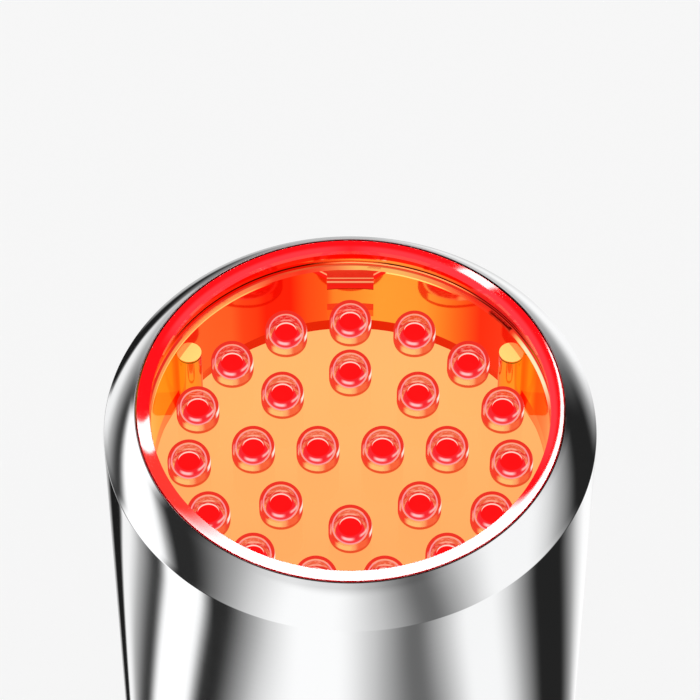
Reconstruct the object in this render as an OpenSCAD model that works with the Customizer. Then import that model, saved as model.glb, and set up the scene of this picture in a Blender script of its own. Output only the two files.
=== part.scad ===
// Handheld LED skincare wand: a mirror-bright round barrel with a bevelled head.
// A red lens ring and a clear window close a glowing chamber of LEDs on stands.
// The wand stands on its tail. The origin is the middle of the foot pad's face, +Z runs to
// the head, and the buttons face -Y. All sizes are in millimetres.

/* [Body] */
// Overall length, from the face of the foot pad to the front of the lens ring
body_len = 165; // [158:1:190]
// Outer diameter of the barrel
body_d = 45.4; // [44:0.2:50]
// Wall of the barrel
wall = 1.4; // [1:0.1:1.8]
// Width of the bevel round the head, across the radius
bevel_w = 2.95; // [2:0.05:3.6]
// Height of the bevel round the head
bevel_h = 3.2; // [2:0.1:4.5]
// Flat land between the bevel and the mouth
mouth_land = 0.1; // [0.05:0.05:0.4]

/* [Lens ring and window] */
// Width of the lens ring, across the radius
ring_w = 1.2; // [0.8:0.1:1.6]
// Thickness of the lens ring at its inner edge
ring_t = 0.5; // [0.4:0.1:1]
// Fall of the ring's face towards the middle
ring_dish = 0.1; // [0.05:0.05:0.3]
// Thickness of the clear front window
window_t = 2; // [1:0.1:3]
// Thickness of the gasket under the window
gasket_t = 0.3; // [0.2:0.1:0.6]
// Width of the ledge that the window rests on
ledge_w = 0.55; // [0.4:0.05:0.7]

/* [Light chamber] */
// Distance that the chamber wall stands behind the inner edge of the ring
ring_overhang = 0.05; // [0:0.05:0.3]
// Radial thickness of the chamber wall
chamber_wall_t = 1.8; // [1.6:0.1:2]
// Clear height between the LED lenses and the window
led_clear = 1.7; // [0.5:0.1:3]
// Height of the LED stands above the chamber floor
stand_h = 4.75; // [3:0.05:7]
// Height of the recessed foot of the chamber wall
foot_h = 1.65; // [0.8:0.05:2.2]
// Thickness of the chamber floor
floor_t = 1.2; // [0.8:0.1:2]
// Radius of each post on the chamber wall
post_r = 1.15; // [1:0.05:1.3]
// Distance from the chamber wall in to the middle of a post
post_in = 1; // [0.8:0.1:1.1]
// Distance from the window ledge down to the top of a post
post_drop = 0.35; // [0.2:0.05:1.5]
// Width of each clip window in the chamber wall
clip_w = 4.45; // [3:0.05:5]
// Thickness of each spring clip
clip_t = 0.8; // [0.5:0.1:0.9]

/* [LEDs] */
// Diameter of an LED lens
led_d = 4; // [3:0.1:4]
// Height of the straight side of an LED lens
led_side = 1.44; // [1.1:0.02:2]
// Wall of the hollow LED lens
lens_wall = 0.33; // [0.2:0.01:0.5]
// Diameter of the red emitter under each lens
emitter_d = 2.3; // [1.6:0.1:2.3]
// Height of the red emitter
emitter_h = 0.9; // [0.5:0.1:1.1]
// Number of LEDs in the outer ring
outer_count = 15; // [9:1:17]
// Number of LEDs in the middle ring
middle_count = 8; // [4:1:9]
// Distance from one ring of LEDs to the next
led_pitch = 6; // [5:0.1:6.2]
// Distance from the outer ring of LEDs to the chamber wall
led_edge = 3.4; // [3.3:0.1:3.8]

/* [LED board and heat sink] */
// Thickness of the LED board
led_board_t = 1.6; // [1:0.1:2]
// Thickness of the thermal pad
pad_t = 0.5; // [0.3:0.1:1]
// Thickness of the heat sink's base
sink_t = 3; // [2:0.1:4]
// Height of the heat sink's fins
fin_h = 8; // [4:0.5:12]
// Thickness of one fin
fin_t = 1.2; // [0.8:0.1:1.6]
// Distance from one fin to the next
fin_pitch = 3.6; // [2.6:0.1:5]

/* [Control panel] */
// Distance from the front of the head to the middle of the panel
panel_drop = 53; // [49:1:58]
// Width of the hole in the barrel that takes the panel
panel_w = 15.2; // [14.6:0.2:17]
// Length of the hole in the barrel that takes the panel
panel_l = 41.2; // [40:0.2:46]
// Overlap of the panel's rim on the barrel
rim_w = 0.7; // [0.5:0.1:1.2]
// Thickness of the panel's rim
rim_t = 0.4; // [0.3:0.05:0.8]
// Thickness of the panel gasket
seal_t = 0.25; // [0.2:0.05:0.5]
// Diameter of the power button
power_d = 10.4; // [8:0.2:11]
// Diameter of the mode button
mode_d = 7.6; // [6:0.2:9]
// Distance from the middle of the panel up to the power button
power_up = 9.5; // [9:0.1:11]
// Distance from the middle of the panel down to the mode button
mode_down = 9.5; // [8:0.1:12]
// Height of a button above the panel
button_proud = 0.8; // [0.7:0.05:1.5]
// Travel of a button
travel = 0.6; // [0.3:0.05:0.7]
// Diameter of an indicator lens
dot_d = 1.4; // [1:0.1:2]
// Distance from one indicator lens to the next
dot_pitch = 2.6; // [2.4:0.1:4]

/* [Main board and battery] */
// Length of the main board
board_l = 74; // [60:1:80]
// Width of the main board
board_w = 28; // [26:1:30]
// Thickness of a circuit board
board_t = 1.6; // [1:0.1:1.6]
// Distance from the front of the head down to the top of the main board
board_drop = 31; // [30:1:35]
// Diameter of the battery cell
cell_d = 18.4; // [14:0.2:18.6]
// Length of the battery cell
cell_l = 65; // [50:0.5:67]

/* [Tail] */
// Length of the tail cap that shows below the barrel
cap_h = 9; // [7:0.5:14]
// Bevel round the foot of the tail cap
cap_bevel = 2; // [1:0.1:2.5]
// Length of the spigot that plugs into the barrel
spigot_h = 6; // [5:0.5:9]
// Radius of the foot pad
foot_r = 18; // [16:0.5:18.5]
// Thickness of the foot pad
foot_t = 1.2; // [1:0.1:2]
// Height that the foot pad stands out of the cap
foot_proud = 0.6; // [0.4:0.1:0.8]
// Radius of a charging contact
contact_r = 1.5; // [1:0.1:1.8]
// Distance from the middle of the tail to a charging contact
contact_x = 6.5; // [5:0.1:7]

/* [Hidden] */
$fn = 96;

// Clearances: a sliding fit, a running fit for the buttons, a loose fit and a screw hole
fit_gap = 0.1;
run_gap = 0.08;
loose_gap = 0.15;
screw_gap = 0.12;
// Amount that a cutting body runs past the face that it cuts, and the least such amount
past = 1;
hair = 0.01;
// Number of posts, of clips and of tail screws, and the angle of the first of each
trio = 3;
post_at = 30;
clip_at = 90;

// Radii, worked in from the outside of the barrel
body_r = body_d / 2;
bore_r = body_r - wall;
mouth_r = body_r - bevel_w - mouth_land;
ring_r = mouth_r - fit_gap;
ring_in_r = ring_r - ring_w;
chamber_r = ring_in_r + ring_overhang;
seat_r = chamber_r + ledge_w;
neck_r = mouth_r - loose_gap;
window_r = seat_r - fit_gap;
collar_r = bore_r - loose_gap;
chamber_out_r = chamber_r + chamber_wall_t;

// Heights, worked down from the front of the head
crease_z = body_len - bevel_h;
ring_z = body_len - ring_dish - ring_t;
window_z = ring_z - fit_gap / 2 - window_t;
ledge_z = window_z - gasket_t;
led_h = led_side + led_d / 2;
led_z = window_z - led_clear - led_h;
floor_z = led_z - stand_h;
foot_z = floor_z + foot_h;
led_board_top = floor_z - floor_t;
led_board_z = led_board_top - led_board_t;
sink_top = led_board_z - pad_t;
sink_z = sink_top - sink_t;
fin_z = sink_z - fin_h;
// The inner cone of the head runs at 45 degrees from the mouth to the bore
mouth_depth = 2;
cone_z = body_len - mouth_depth;
cone_drop = bore_r - mouth_r;

// LED pattern: a pair in the middle, then two full rings, with one LED at the back of each
led_rings = [
    [2, chamber_r - led_edge - 2 * led_pitch, 0],
    [middle_count, chamber_r - led_edge - led_pitch, 90],
    [outer_count, chamber_r - led_edge, 90]
];
stand_r = (led_d - fit_gap) / 2;
dome_in_r = led_d / 2 - lens_wall;
emitter_edge = 0.2;

// Chamber posts and clips alternate round the wall; heights are taken from the foot of the LEDs
post_ring_r = chamber_r - post_in;
clip_gap = 0.1;
clip_in_r = seat_r + 2 * clip_gap;
clip_rise = 3.45;
clip_top = led_z + clip_rise;
clip_step = 0.7;
clip_side = clip_w / 2 + loose_gap;
pocket_side = clip_side + loose_gap;
pocket_gap = 0.55;
pocket_top = clip_top + pocket_gap;
window_drop = 2.1;
window_low = led_z - window_drop;
window_lintel = 0.2;
window_high = led_z - window_lintel;
notch_rise = 1.95;
notch_low = led_z + notch_rise;
flare_rise = 3.5;
flare_z = led_z + flare_rise;
flare_w = 1.35;
base_band_h = 2;
top_band_h = 1.5;

// Chamber screws, and the radius inside them that is free for the heat sink's fins
screw_edge = 0.2;
screw_r = 0.7;
screw_head_r = 1.4;
screw_head_h = 1;
screw_grip = 5;
screw_tip_gap = 0.5;
core_gap = 0.8;
core_r = post_ring_r - screw_head_r - core_gap;
board_inset = 0.5;
sink_inset = 0.3;

// Control panel, in distances from the axis of the barrel
panel_z = body_len - panel_drop;
panel_out_r = body_r + seal_t + rim_t;
panel_depth = 3.3;
panel_back = body_r - panel_depth;
power_z = panel_z + power_up;
mode_z = panel_z - mode_down;
button_face = panel_out_r + button_proud;
seal_inset = 0.15;
flange_w = 0.8;
flange_t = 1;
dish_rim = 0.9;
dish_depth = 0.3;
cap_edge = 0.35;
stem_r = 1.9;
plunger_r = 1.7;
plunger_up = 1.2;
well_floor = 0.2;
pin_size = [0.6, 0.7, 0.3];
dot_collar_w = 0.3;
dot_collar_t = 0.5;
hook_w = 6;
hook_out = 0.7;
hook_t = 1.2;

// Main board, switches and battery
board_depth = 5.6;
board_front = panel_back - board_depth;
board_rear = board_front - board_t;
board_top = body_len - board_drop;
board_z = board_top - board_l;
switch_w = 6;
switch_t = 3.1;
switch_face = board_front + switch_t;
plunger_face = switch_face + plunger_up;
stem_gap = 0.05;
stem_end = plunger_face + stem_gap;
boss_x = 11;
boss_inset = 6;
boss_r = 2.2;
board_screw_r = 0.9;
board_head_r = 1.7;
board_grip = 4;
cell_r = cell_d / 2;
cell_y = 5;

// Tail cap and chassis
cap_z = foot_proud;
cap_floor_t = 3;
cap_floor = foot_t + cap_floor_t;
seam_z = cap_h;
spigot_top = seam_z + spigot_h;
spigot_r = bore_r - fit_gap;
spigot_wall = 2.75;
cavity_r = spigot_r - spigot_wall;
seal_r = 0.9;
seal_z = seam_z + spigot_h / 2;
chassis_r = bore_r - 2 * fit_gap;
chassis_top = sink_z;
plate_t = 3;
plate_top = spigot_top + plate_t;
collar_t = 1.5;
collar_h = 4;
rail_in = 15.5;
rail_back = 4;
bar_x = rail_in + 1;
bar_t = 3;
bar_h = 6;
bar_gap = 3;
bracket_in = 5;
rail_front = board_rear - bar_gap;
pad_low_t = 1;
pad_high_t = 2;
cell_z = plate_top + pad_low_t;
cell_top = cell_z + cell_l;
stop_z = cell_top + pad_high_t;
saddle_low = 10;
saddle_high = 14;
saddle_zs = [cell_z + saddle_low, cell_top - saddle_high];
saddle_t = 3;
strap_h = 8;
strap_t = 0.6;
tail_boss_ring = 14;
tail_boss_r = 3;
tail_screw_r = 1;
tail_head_r = 1.9;
tail_head_h = 1.4;
tail_grip = 9;
tail_bore = 8;
contact_head_w = 0.6;
contact_head_h = 0.7;
contact_hole = 0.5;
charge_board_t = 1.2;
charge_board_w = 8;
charge_board_edge = 2;

// Wires, battery tabs and the parts on the main board
wire_r = 0.55;
led_wire_x = -9;
led_wire_pitch = 2.5;
led_wire_out = 2;
led_wire_y = -board_front - led_wire_out;
led_wire_way = 1.2;
plug_w = 6.4;
plug_h = 6;
plug_t = 3.2;
plug_drop = 14;
charge_wire_x = 2;
charge_wire_y = -board_front - wire_r;
charge_wire_way = 1.8;
charge_wire_rise = 6;
tab_w = 5;
tab_t = 0.25;
tab_gap = 0.4;
tab_y = cell_y - cell_r - tab_t;
tab_past = 3;
tab_l = cell_r + tab_past;
tab_lip = 1;
tab_rise = 4;
chip_at = [0, 18.5];
chip_size = [5, 5, 1];
charger_at = [-8, 21];
charger_size = [4, 6, 1.2];
capacitor_at = [8.5, 18.5];
capacitor_size = [5, 3, 2];
coil_r = 3.5;
coil_h = 3;
coil_x = 7;
coil_drop = 17;

// A flat outline with two straight sides and round ends, its length along Y
module stadium(w, l) {
    square([w, l - w], center = true);
    for (end = [-1, 1])
        translate([0, end * (l - w) / 2])
            circle(d = w);
}

// Places a shape on the front of the barrel: its own +Z points out of the barrel, its +Y up
module facing(z) {
    translate([0, 0, z])
        rotate([90, 0, 0])
            children();
}

// Repeats a shape round the axis, each copy with its own +X pointing outwards
module around(count, first) {
    for (i = [0 : count - 1])
        rotate([0, 0, first + i * 360 / count])
            children();
}

// Repeats a shape at every LED of the pattern
module each_led() {
    for (ring = led_rings)
        around(ring[0], ring[2])
            translate([ring[1], 0, 0])
                children();
}

// A disc with a chamfer round its top edge
module chamfered_disc(r, h, chamfer) {
    cylinder(r = r, h = h - chamfer);
    translate([0, 0, h - chamfer])
        cylinder(r1 = r, r2 = r - chamfer, h = chamfer);
}

// A pan-head screw that points up, its head's face at z = 0
module screw(shank_r, head_r, head_h, length) {
    socket_share = 0.7;
    difference() {
        chamfered_disc(head_r, head_h, screw_edge);
        translate([0, 0, -past])
            cylinder(r = shank_r * socket_share, h = past + head_h / 2, $fn = 6);
    }
    translate([0, 0, head_h])
        cylinder(r = shank_r, h = length);
}

// Barrel: one drawn tube whose head turns in to the mouth, polished and chromed
module barrel() {
    color("silver")
        difference() {
            rotate_extrude($fn = 180)
                polygon([
                    [bore_r, seam_z],
                    [body_r, seam_z],
                    [body_r, crease_z],
                    [mouth_r + mouth_land, body_len],
                    [mouth_r, body_len],
                    [mouth_r, cone_z],
                    [bore_r, cone_z - cone_drop]
                ]);
            facing(panel_z)
                linear_extrude(body_r + past)
                    stadium(panel_w, panel_l);
        }
}

// Lens ring: the red rim that holds the window, dished a little towards the middle
module lens_ring() {
    color("red")
        rotate_extrude($fn = 180)
            polygon([
                [ring_in_r, ring_z],
                [ring_r, ring_z],
                [ring_r, body_len],
                [ring_in_r, body_len - ring_dish]
            ]);
}

module front_window() {
    color("mistyrose", 0.2)
        translate([0, 0, window_z])
            cylinder(r = window_r, h = window_t);
}

module window_gasket() {
    color("darkorange")
        translate([0, 0, ledge_z])
            difference() {
                cylinder(r = window_r, h = gasket_t);
                translate([0, 0, -past])
                    cylinder(r = chamber_r, h = gasket_t + 2 * past);
            }
}

// Outline of half the chamber wall: ledge for the window, shoulder under the head's cone,
// and a recessed foot that takes the chamber floor
module chamber_profile() {
    shoulder_z = cone_z - fit_gap;
    top_band_z = shoulder_z - collar_r + neck_r;
    polygon([
        [seat_r, led_board_top],
        [collar_r, led_board_top],
        [collar_r, led_board_top + base_band_h],
        [chamber_out_r, led_board_top + base_band_h],
        [chamber_out_r, top_band_z - top_band_h],
        [collar_r, top_band_z - top_band_h],
        [collar_r, top_band_z],
        [neck_r, shoulder_z],
        [neck_r, ring_z],
        [seat_r, ring_z],
        [seat_r, ledge_z],
        [chamber_r, ledge_z],
        [chamber_r, foot_z],
        [seat_r, foot_z]
    ]);
}

// The openings that each clip shows through: a low window, and a flared notch in the ledge
module clip_windows() {
    cut_t = seat_r + clip_gap - chamber_r + past;
    translate([chamber_r - past, -clip_w / 2, window_low])
        cube([cut_t, clip_w, window_high - window_low]);
    translate([chamber_r - past, 0, 0])
        rotate([90, 0, 90])
            linear_extrude(cut_t)
                polygon([
                    [-clip_w / 2, notch_low],
                    [clip_w / 2, notch_low],
                    [clip_w / 2, flare_z],
                    [clip_w / 2 + flare_w, ledge_z + hair],
                    [-clip_w / 2 - flare_w, ledge_z + hair],
                    [-clip_w / 2, flare_z]
                ]);
}

// Chamber wall: the glossy orange cup round the LEDs, with three posts on its inside
module chamber_wall() {
    color("orangered")
        difference() {
            union() {
                rotate_extrude($fn = 180)
                    chamber_profile();
                around(trio, post_at)
                    translate([post_ring_r, 0, led_board_top])
                        cylinder(r = post_r, h = ledge_z - post_drop - led_board_top, $fn = 48);
            }
            around(trio, clip_at) {
                clip_windows();
                translate([clip_in_r - clip_gap, -pocket_side, led_board_top - past])
                    cube([body_r, 2 * pocket_side, pocket_top - led_board_top + past]);
            }
            around(trio, post_at)
                translate([post_ring_r, 0, led_board_top - past])
                    cylinder(r = screw_r, h = screw_grip + past, $fn = 32);
        }
}

// Clips: three stepped spring tongues that stand behind the windows of the chamber wall
module chamber_clips() {
    color("darkorange")
        around(trio, clip_at)
            translate([0, clip_side, 0])
                rotate([90, 0, 0])
                    linear_extrude(2 * clip_side)
                        polygon([
                            [clip_in_r, led_board_top],
                            [clip_in_r + clip_t, led_board_top],
                            [clip_in_r + clip_t, clip_top],
                            [clip_in_r + clip_t / 2, clip_top],
                            [clip_in_r + clip_t / 2, clip_top - clip_step],
                            [clip_in_r, clip_top - clip_step]
                        ]);
}

// LED carrier: the glowing floor of the chamber, with a stand for every LED
module led_carrier() {
    color("sandybrown")
        difference() {
            union() {
                translate([0, 0, led_board_top])
                    cylinder(r = seat_r - fit_gap / 2, h = floor_t, $fn = 180);
                translate([0, 0, floor_z])
                    each_led()
                        cylinder(r = stand_r, h = stand_h, $fn = 48);
            }
            around(trio, post_at)
                translate([post_ring_r, 0, led_board_top - past])
                    cylinder(r = post_r + fit_gap, h = floor_t + 2 * past, $fn = 48);
        }
}

// LED lenses: hollow clear domes, one on every stand
module led_lenses() {
    color("pink", 0.5)
        translate([0, 0, led_z])
            each_led()
                rotate_extrude($fn = 64)
                    difference() {
                        union() {
                            square([led_d / 2, led_side]);
                            translate([0, led_side])
                                intersection() {
                                    circle(d = led_d);
                                    square(led_d);
                                }
                        }
                        square([dome_in_r, led_side]);
                        translate([0, led_side])
                            intersection() {
                                circle(r = dome_in_r);
                                square(led_d);
                            }
                    }
}

// LED emitters: the red cups under the lenses
module led_emitters() {
    color("red")
        translate([0, 0, led_z])
            each_led()
                chamfered_disc(emitter_d / 2, emitter_h, emitter_edge, $fn = 32);
}

module led_board() {
    color("white")
        translate([0, 0, led_board_z])
            difference() {
                cylinder(r = collar_r - board_inset, h = led_board_t);
                around(trio, post_at)
                    translate([post_ring_r, 0, -past])
                        cylinder(r = screw_r + screw_gap, h = led_board_t + 2 * past, $fn = 32);
            }
}

module thermal_pad() {
    color("gray")
        translate([0, 0, sink_top])
            cylinder(r = core_r, h = pad_t);
}

// Gap in the heat sink and the chassis collar for the wires of the LED board
module lead_way(low, high) {
    translate([led_wire_x - led_wire_pitch, -body_r, low - past])
        cube([2 * led_wire_pitch, body_r + led_wire_y + led_wire_way, high - low + 2 * past]);
}

// Heat sink: a round base with straight fins underneath
module heat_sink() {
    reach = floor(core_r / fin_pitch);
    color("lightsteelblue")
        difference() {
            union() {
                translate([0, 0, sink_z])
                    cylinder(r = chassis_r - sink_inset, h = sink_t);
                intersection() {
                    translate([0, 0, fin_z])
                        cylinder(r = core_r, h = fin_h + past);
                    for (i = [-reach : reach])
                        translate([i * fin_pitch - fin_t / 2, -core_r, fin_z])
                            cube([fin_t, 2 * core_r, fin_h + past]);
                }
            }
            lead_way(fin_z, sink_top);
            around(trio, post_at)
                translate([post_ring_r, 0, sink_z - past])
                    cylinder(r = screw_r + screw_gap, h = sink_t + 2 * past, $fn = 32);
        }
}

module chamber_screws() {
    shank = sink_t + pad_t + led_board_t + screw_grip - screw_tip_gap;
    color("dimgray")
        around(trio, post_at)
            translate([post_ring_r, 0, sink_z - screw_head_h])
                screw(screw_r, screw_head_r, screw_head_h, shank, $fn = 32);
}

// Panel: the dark inlay of the barrel that carries the buttons and the indicator lenses
module button_panel() {
    hook_z = panel_l / 2 - fit_gap;
    color("dimgray")
        facing(panel_z)
            difference() {
                union() {
                    intersection() {
                        linear_extrude(body_d)
                            stadium(panel_w + 2 * rim_w, panel_l + 2 * rim_w);
                        panel_shell(body_r + seal_t, panel_out_r);
                    }
                    intersection() {
                        linear_extrude(body_d)
                            stadium(panel_w - 2 * fit_gap, panel_l - 2 * fit_gap);
                        panel_shell(0, body_r + seal_t);
                        translate([-body_r, -body_len, panel_back])
                            cube([body_d, 2 * body_len, body_r]);
                    }
                    for (end = [-1, 1])
                        translate([0, end * hook_z, panel_back])
                            hook(end);
                }
                translate([0, power_up, 0])
                    cylinder(d = power_d + 2 * run_gap, h = body_d);
                translate([0, -mode_down, 0])
                    cylinder(d = mode_d + 2 * run_gap, h = body_d);
                for (i = [-1 : 1])
                    translate([i * dot_pitch, 0, 0])
                        cylinder(d = dot_d + 2 * run_gap, h = body_d, $fn = 32);
            }
}

// A part of the tube between two radii, seen in the frame of the panel
module panel_shell(inner_r, outer_r) {
    rotate([-90, 0, 0])
        difference() {
            cylinder(r = outer_r, h = 4 * panel_l, center = true, $fn = 180);
            cylinder(r = inner_r, h = 5 * panel_l, center = true, $fn = 180);
        }
}

// A snap hook at one end of the panel, which catches under the wall of the barrel
module hook(end) {
    barb_top = bore_r - panel_back - 3 * loose_gap;
    translate([-hook_w / 2, min(0, -end * hook_t), 0])
        cube([hook_w, hook_t, barb_top]);
    translate([-hook_w / 2, min(0, end * (hook_out + fit_gap)), 0])
        cube([hook_w, hook_out + fit_gap, barb_top]);
}

module panel_gasket() {
    seal_w = rim_w - seal_inset;
    color("black")
        facing(panel_z)
            intersection() {
                linear_extrude(body_d)
                    difference() {
                        stadium(panel_w + 2 * seal_w, panel_l + 2 * seal_w);
                        stadium(panel_w, panel_l);
                    }
                panel_shell(body_r, body_r + seal_t);
            }
}

// A push button: a dished cap, a flange behind the panel and a short stem
module button(d) {
    dish_r = d / 2 - dish_rim;
    ball_r = (dish_r * dish_r + dish_depth * dish_depth) / (2 * dish_depth);
    cap_low = panel_back - run_gap - flange_t;
    difference() {
        translate([0, 0, cap_low])
            chamfered_disc(d / 2, button_face - cap_low, cap_edge);
        translate([0, 0, button_face - dish_depth + ball_r])
            sphere(r = ball_r, $fn = 180);
    }
    translate([0, 0, cap_low])
        cylinder(r = d / 2 + flange_w, h = flange_t);
    translate([0, 0, stem_end])
        cylinder(r = stem_r, h = cap_low - stem_end + flange_t / 2, $fn = 48);
}

module power_button() {
    color("gainsboro")
        facing(power_z)
            button(power_d);
}

module mode_button() {
    color("gainsboro")
        facing(mode_z)
            button(mode_d);
}

// The moving stud of a tact switch
module plunger() {
    plunger_foot = board_front + well_floor + fit_gap + travel;
    translate([0, 0, plunger_foot])
        cylinder(r = plunger_r, h = plunger_face - plunger_foot, $fn = 48);
}

module power_plunger() {
    color("black")
        facing(power_z)
            plunger();
}

module mode_plunger() {
    color("black")
        facing(mode_z)
            plunger();
}

// The square body of a tact switch, with a round well for its stud and four pins
module switch_body() {
    difference() {
        translate([-switch_w / 2, -switch_w / 2, board_front])
            cube([switch_w, switch_w, switch_t]);
        translate([0, 0, board_front + well_floor])
            cylinder(r = plunger_r + run_gap, h = switch_t, $fn = 48);
    }
    for (side = [-1, 1], row = [-1, 1])
        translate([side * (switch_w + pin_size.x) / 2, row * switch_w / 3, board_front + pin_size.z / 2])
            cube(pin_size, center = true);
}

module power_switch() {
    color("darkslategray")
        facing(power_z)
            switch_body();
}

module mode_switch() {
    color("darkslategray")
        facing(mode_z)
            switch_body();
}

// Indicator lenses: three light pipes from the main board to the face of the panel
module indicator_lenses() {
    color("white")
        facing(panel_z)
            for (i = [-1 : 1])
                translate([i * dot_pitch, 0, 0]) {
                    intersection() {
                        translate([0, 0, board_front])
                            cylinder(d = dot_d, h = body_r, $fn = 32);
                        translate([-i * dot_pitch, 0, 0])
                            panel_shell(0, panel_out_r);
                    }
                    translate([0, 0, panel_back - fit_gap - dot_collar_t])
                        cylinder(d = dot_d + 2 * dot_collar_w, h = dot_collar_t, $fn = 32);
                }
}

// A side rail of the chassis, kept inside the bore
module rail() {
    intersection() {
        cylinder(r = chassis_r, h = chassis_top);
        translate([rail_in, -rail_front, spigot_top])
            cube([body_r, rail_front + rail_back, chassis_top - spigot_top]);
    }
}

// A cross plate that cradles the front half of the battery cell
module saddle(z) {
    difference() {
        translate([-bar_x, -rail_front, z])
            cube([2 * bar_x, rail_front + cell_y, saddle_t]);
        translate([0, cell_y, z - past])
            cylinder(r = cell_r + loose_gap, h = saddle_t + 2 * past);
        translate([-tab_w / 2 - tab_gap, -rail_front - past, z - past])
            cube([tab_w + 2 * tab_gap, rail_front + cell_y, saddle_t + 2 * past]);
    }
}

// Two brackets with the bosses that carry one end of the main board, apart for the leads
module board_brackets(z) {
    boss_h = bar_gap + fit_gap;
    for (side = [0, 1])
        mirror([side, 0, 0]) {
            translate([bracket_in, -rail_front, z - bar_h / 2])
                cube([bar_x - bracket_in, bar_t, bar_h]);
            facing(z)
                translate([boss_x, 0, board_rear - boss_h])
                    cylinder(r = boss_r, h = boss_h, $fn = 32);
        }
}

// Chassis: the moulded frame inside the barrel, from the tail cap up to the heat sink
module chassis() {
    color("lightgray")
        difference() {
            union() {
                translate([0, 0, spigot_top])
                    cylinder(r = chassis_r, h = plate_t);
                translate([0, 0, chassis_top - collar_h])
                    difference() {
                        cylinder(r = chassis_r, h = collar_h);
                        translate([0, 0, -past])
                            cylinder(r = chassis_r - collar_t, h = collar_h + 2 * past);
                    }
                rail();
                mirror([1, 0, 0])
                    rail();
                for (z = saddle_zs)
                    saddle(z);
                translate([-bar_x, -rail_front, stop_z])
                    cube([2 * bar_x, rail_front + cell_y + cell_r / 2, saddle_t]);
                board_brackets(board_z + boss_inset);
                board_brackets(board_top - boss_inset);
                around(trio, clip_at)
                    translate([tail_boss_ring, 0, cap_floor])
                        cylinder(r = tail_boss_r, h = spigot_top - cap_floor + past, $fn = 48);
            }
            around(trio, clip_at)
                translate([tail_boss_ring, 0, cap_floor - past])
                    cylinder(r = tail_screw_r, h = tail_bore + past, $fn = 32);
            for (side = [-1, 1], z = [board_z + boss_inset, board_top - boss_inset])
                facing(z)
                    translate([side * boss_x, 0, board_rear - board_grip - screw_tip_gap])
                        cylinder(r = board_screw_r, h = body_r, $fn = 32);
            lead_way(chassis_top - collar_h, chassis_top);
            translate([-2 * charge_wire_x, -body_r, spigot_top - past])
                cube([4 * charge_wire_x, body_r + charge_wire_y + charge_wire_way, plate_t + 2 * past]);
        }
}

module main_board() {
    color("seagreen")
        facing(board_z)
            difference() {
                translate([-board_w / 2, 0, board_rear])
                    cube([board_w, board_l, board_t]);
                for (side = [-1, 1], y = [boss_inset, board_l - boss_inset])
                    translate([side * boss_x, y, board_rear - past])
                        cylinder(r = board_screw_r + screw_gap, h = board_t + 2 * past, $fn = 32);
            }
}

// A flat part on the front of the main board, centred on a point over the board's lower edge
module board_part(at, size) {
    translate([at.x - size.x / 2, at.y - size.y / 2, board_front])
        cube(size);
}

// Parts on the front of the main board: plug of the LED wires, coil, chips and a capacitor
module board_parts() {
    color("darkslategray")
        facing(board_z) {
            board_part([led_wire_x, board_l - plug_drop + plug_h / 2], [plug_w, plug_h, plug_t]);
            board_part(chip_at, chip_size);
            board_part(charger_at, charger_size);
            board_part(capacitor_at, capacitor_size);
            translate([coil_x, board_l - coil_drop, board_front])
                cylinder(r = coil_r, h = coil_h, $fn = 48);
        }
}

module board_screws() {
    color("dimgray")
        for (side = [-1, 1], z = [board_z + boss_inset, board_top - boss_inset])
            facing(z)
                translate([side * boss_x, 0, board_front + screw_head_h])
                    mirror([0, 0, 1])
                        screw(board_screw_r, board_head_r, screw_head_h, board_t + board_grip, $fn = 32);
}

// Battery cell: a rolled can with a shoulder at the top and a raised contact
module battery_cell() {
    edge = 0.6;
    ramp = 0.4;
    groove = 0.5;
    groove_h = 1.4;
    groove_drop = 3.2;
    groove_z = cell_l - groove_drop;
    contact_h = 0.8;
    cell_contact_r = 3.2;
    color("royalblue")
        translate([0, cell_y, cell_z])
            rotate_extrude()
                polygon([
                    [0, 0],
                    [cell_r - edge, 0],
                    [cell_r, edge],
                    [cell_r, groove_z],
                    [cell_r - groove, groove_z + ramp],
                    [cell_r - groove, groove_z + groove_h - ramp],
                    [cell_r, groove_z + groove_h],
                    [cell_r - ramp, cell_l - contact_h],
                    [cell_contact_r, cell_l - contact_h],
                    [cell_contact_r, cell_l],
                    [0, cell_l]
                ]);
}

// Battery tabs: nickel strips on the two ends, the lower one led up the front of the cell
module battery_tabs() {
    color("silver") {
        translate([-tab_w / 2, tab_y - tab_lip, cell_top])
            cube([tab_w, tab_l, tab_t]);
        translate([-tab_w / 2, tab_y, cell_z - tab_t])
            cube([tab_w, tab_l, tab_t]);
        translate([-tab_w / 2, tab_y, cell_z - tab_t])
            cube([tab_w, tab_t, board_z + tab_rise - cell_z + tab_t]);
    }
}

// Battery pads: foam discs that hold the cell between the floor and the stop
module battery_pads() {
    low_edge = 1;
    high_edge = 3;
    color("dimgray") {
        translate([0, cell_y, plate_top])
            cylinder(r = cell_r - low_edge, h = pad_low_t - tab_t);
        translate([0, cell_y, cell_top + tab_t])
            cylinder(r = cell_r - high_edge, h = pad_high_t - tab_t);
    }
}

// Battery straps: two bands round the back of the cell, with feet on the saddles
module battery_straps() {
    band_r = cell_r + fit_gap;
    color("black")
        for (z = saddle_zs)
            translate([0, cell_y, z + saddle_t])
                difference() {
                    union() {
                        cylinder(r = band_r + strap_t, h = strap_h);
                        translate([-rail_in, -strap_t, 0])
                            cube([2 * rail_in, strap_t, strap_h / 2]);
                    }
                    translate([0, 0, -past])
                        cylinder(r = band_r, h = strap_h + 2 * past);
                    translate([-body_r, -body_d - strap_t, -past])
                        cube([body_d, body_d, strap_h + 2 * past]);
                }
}

// Wires from the LED board down to the plug on the main board
module led_leads() {
    plug_top = board_top - plug_drop + plug_h;
    color("firebrick")
        for (side = [-1, 1])
            translate([led_wire_x + side * led_wire_pitch / 2, led_wire_y, plug_top])
                cylinder(r = wire_r, h = led_board_z - plug_top, $fn = 24);
}

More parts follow.
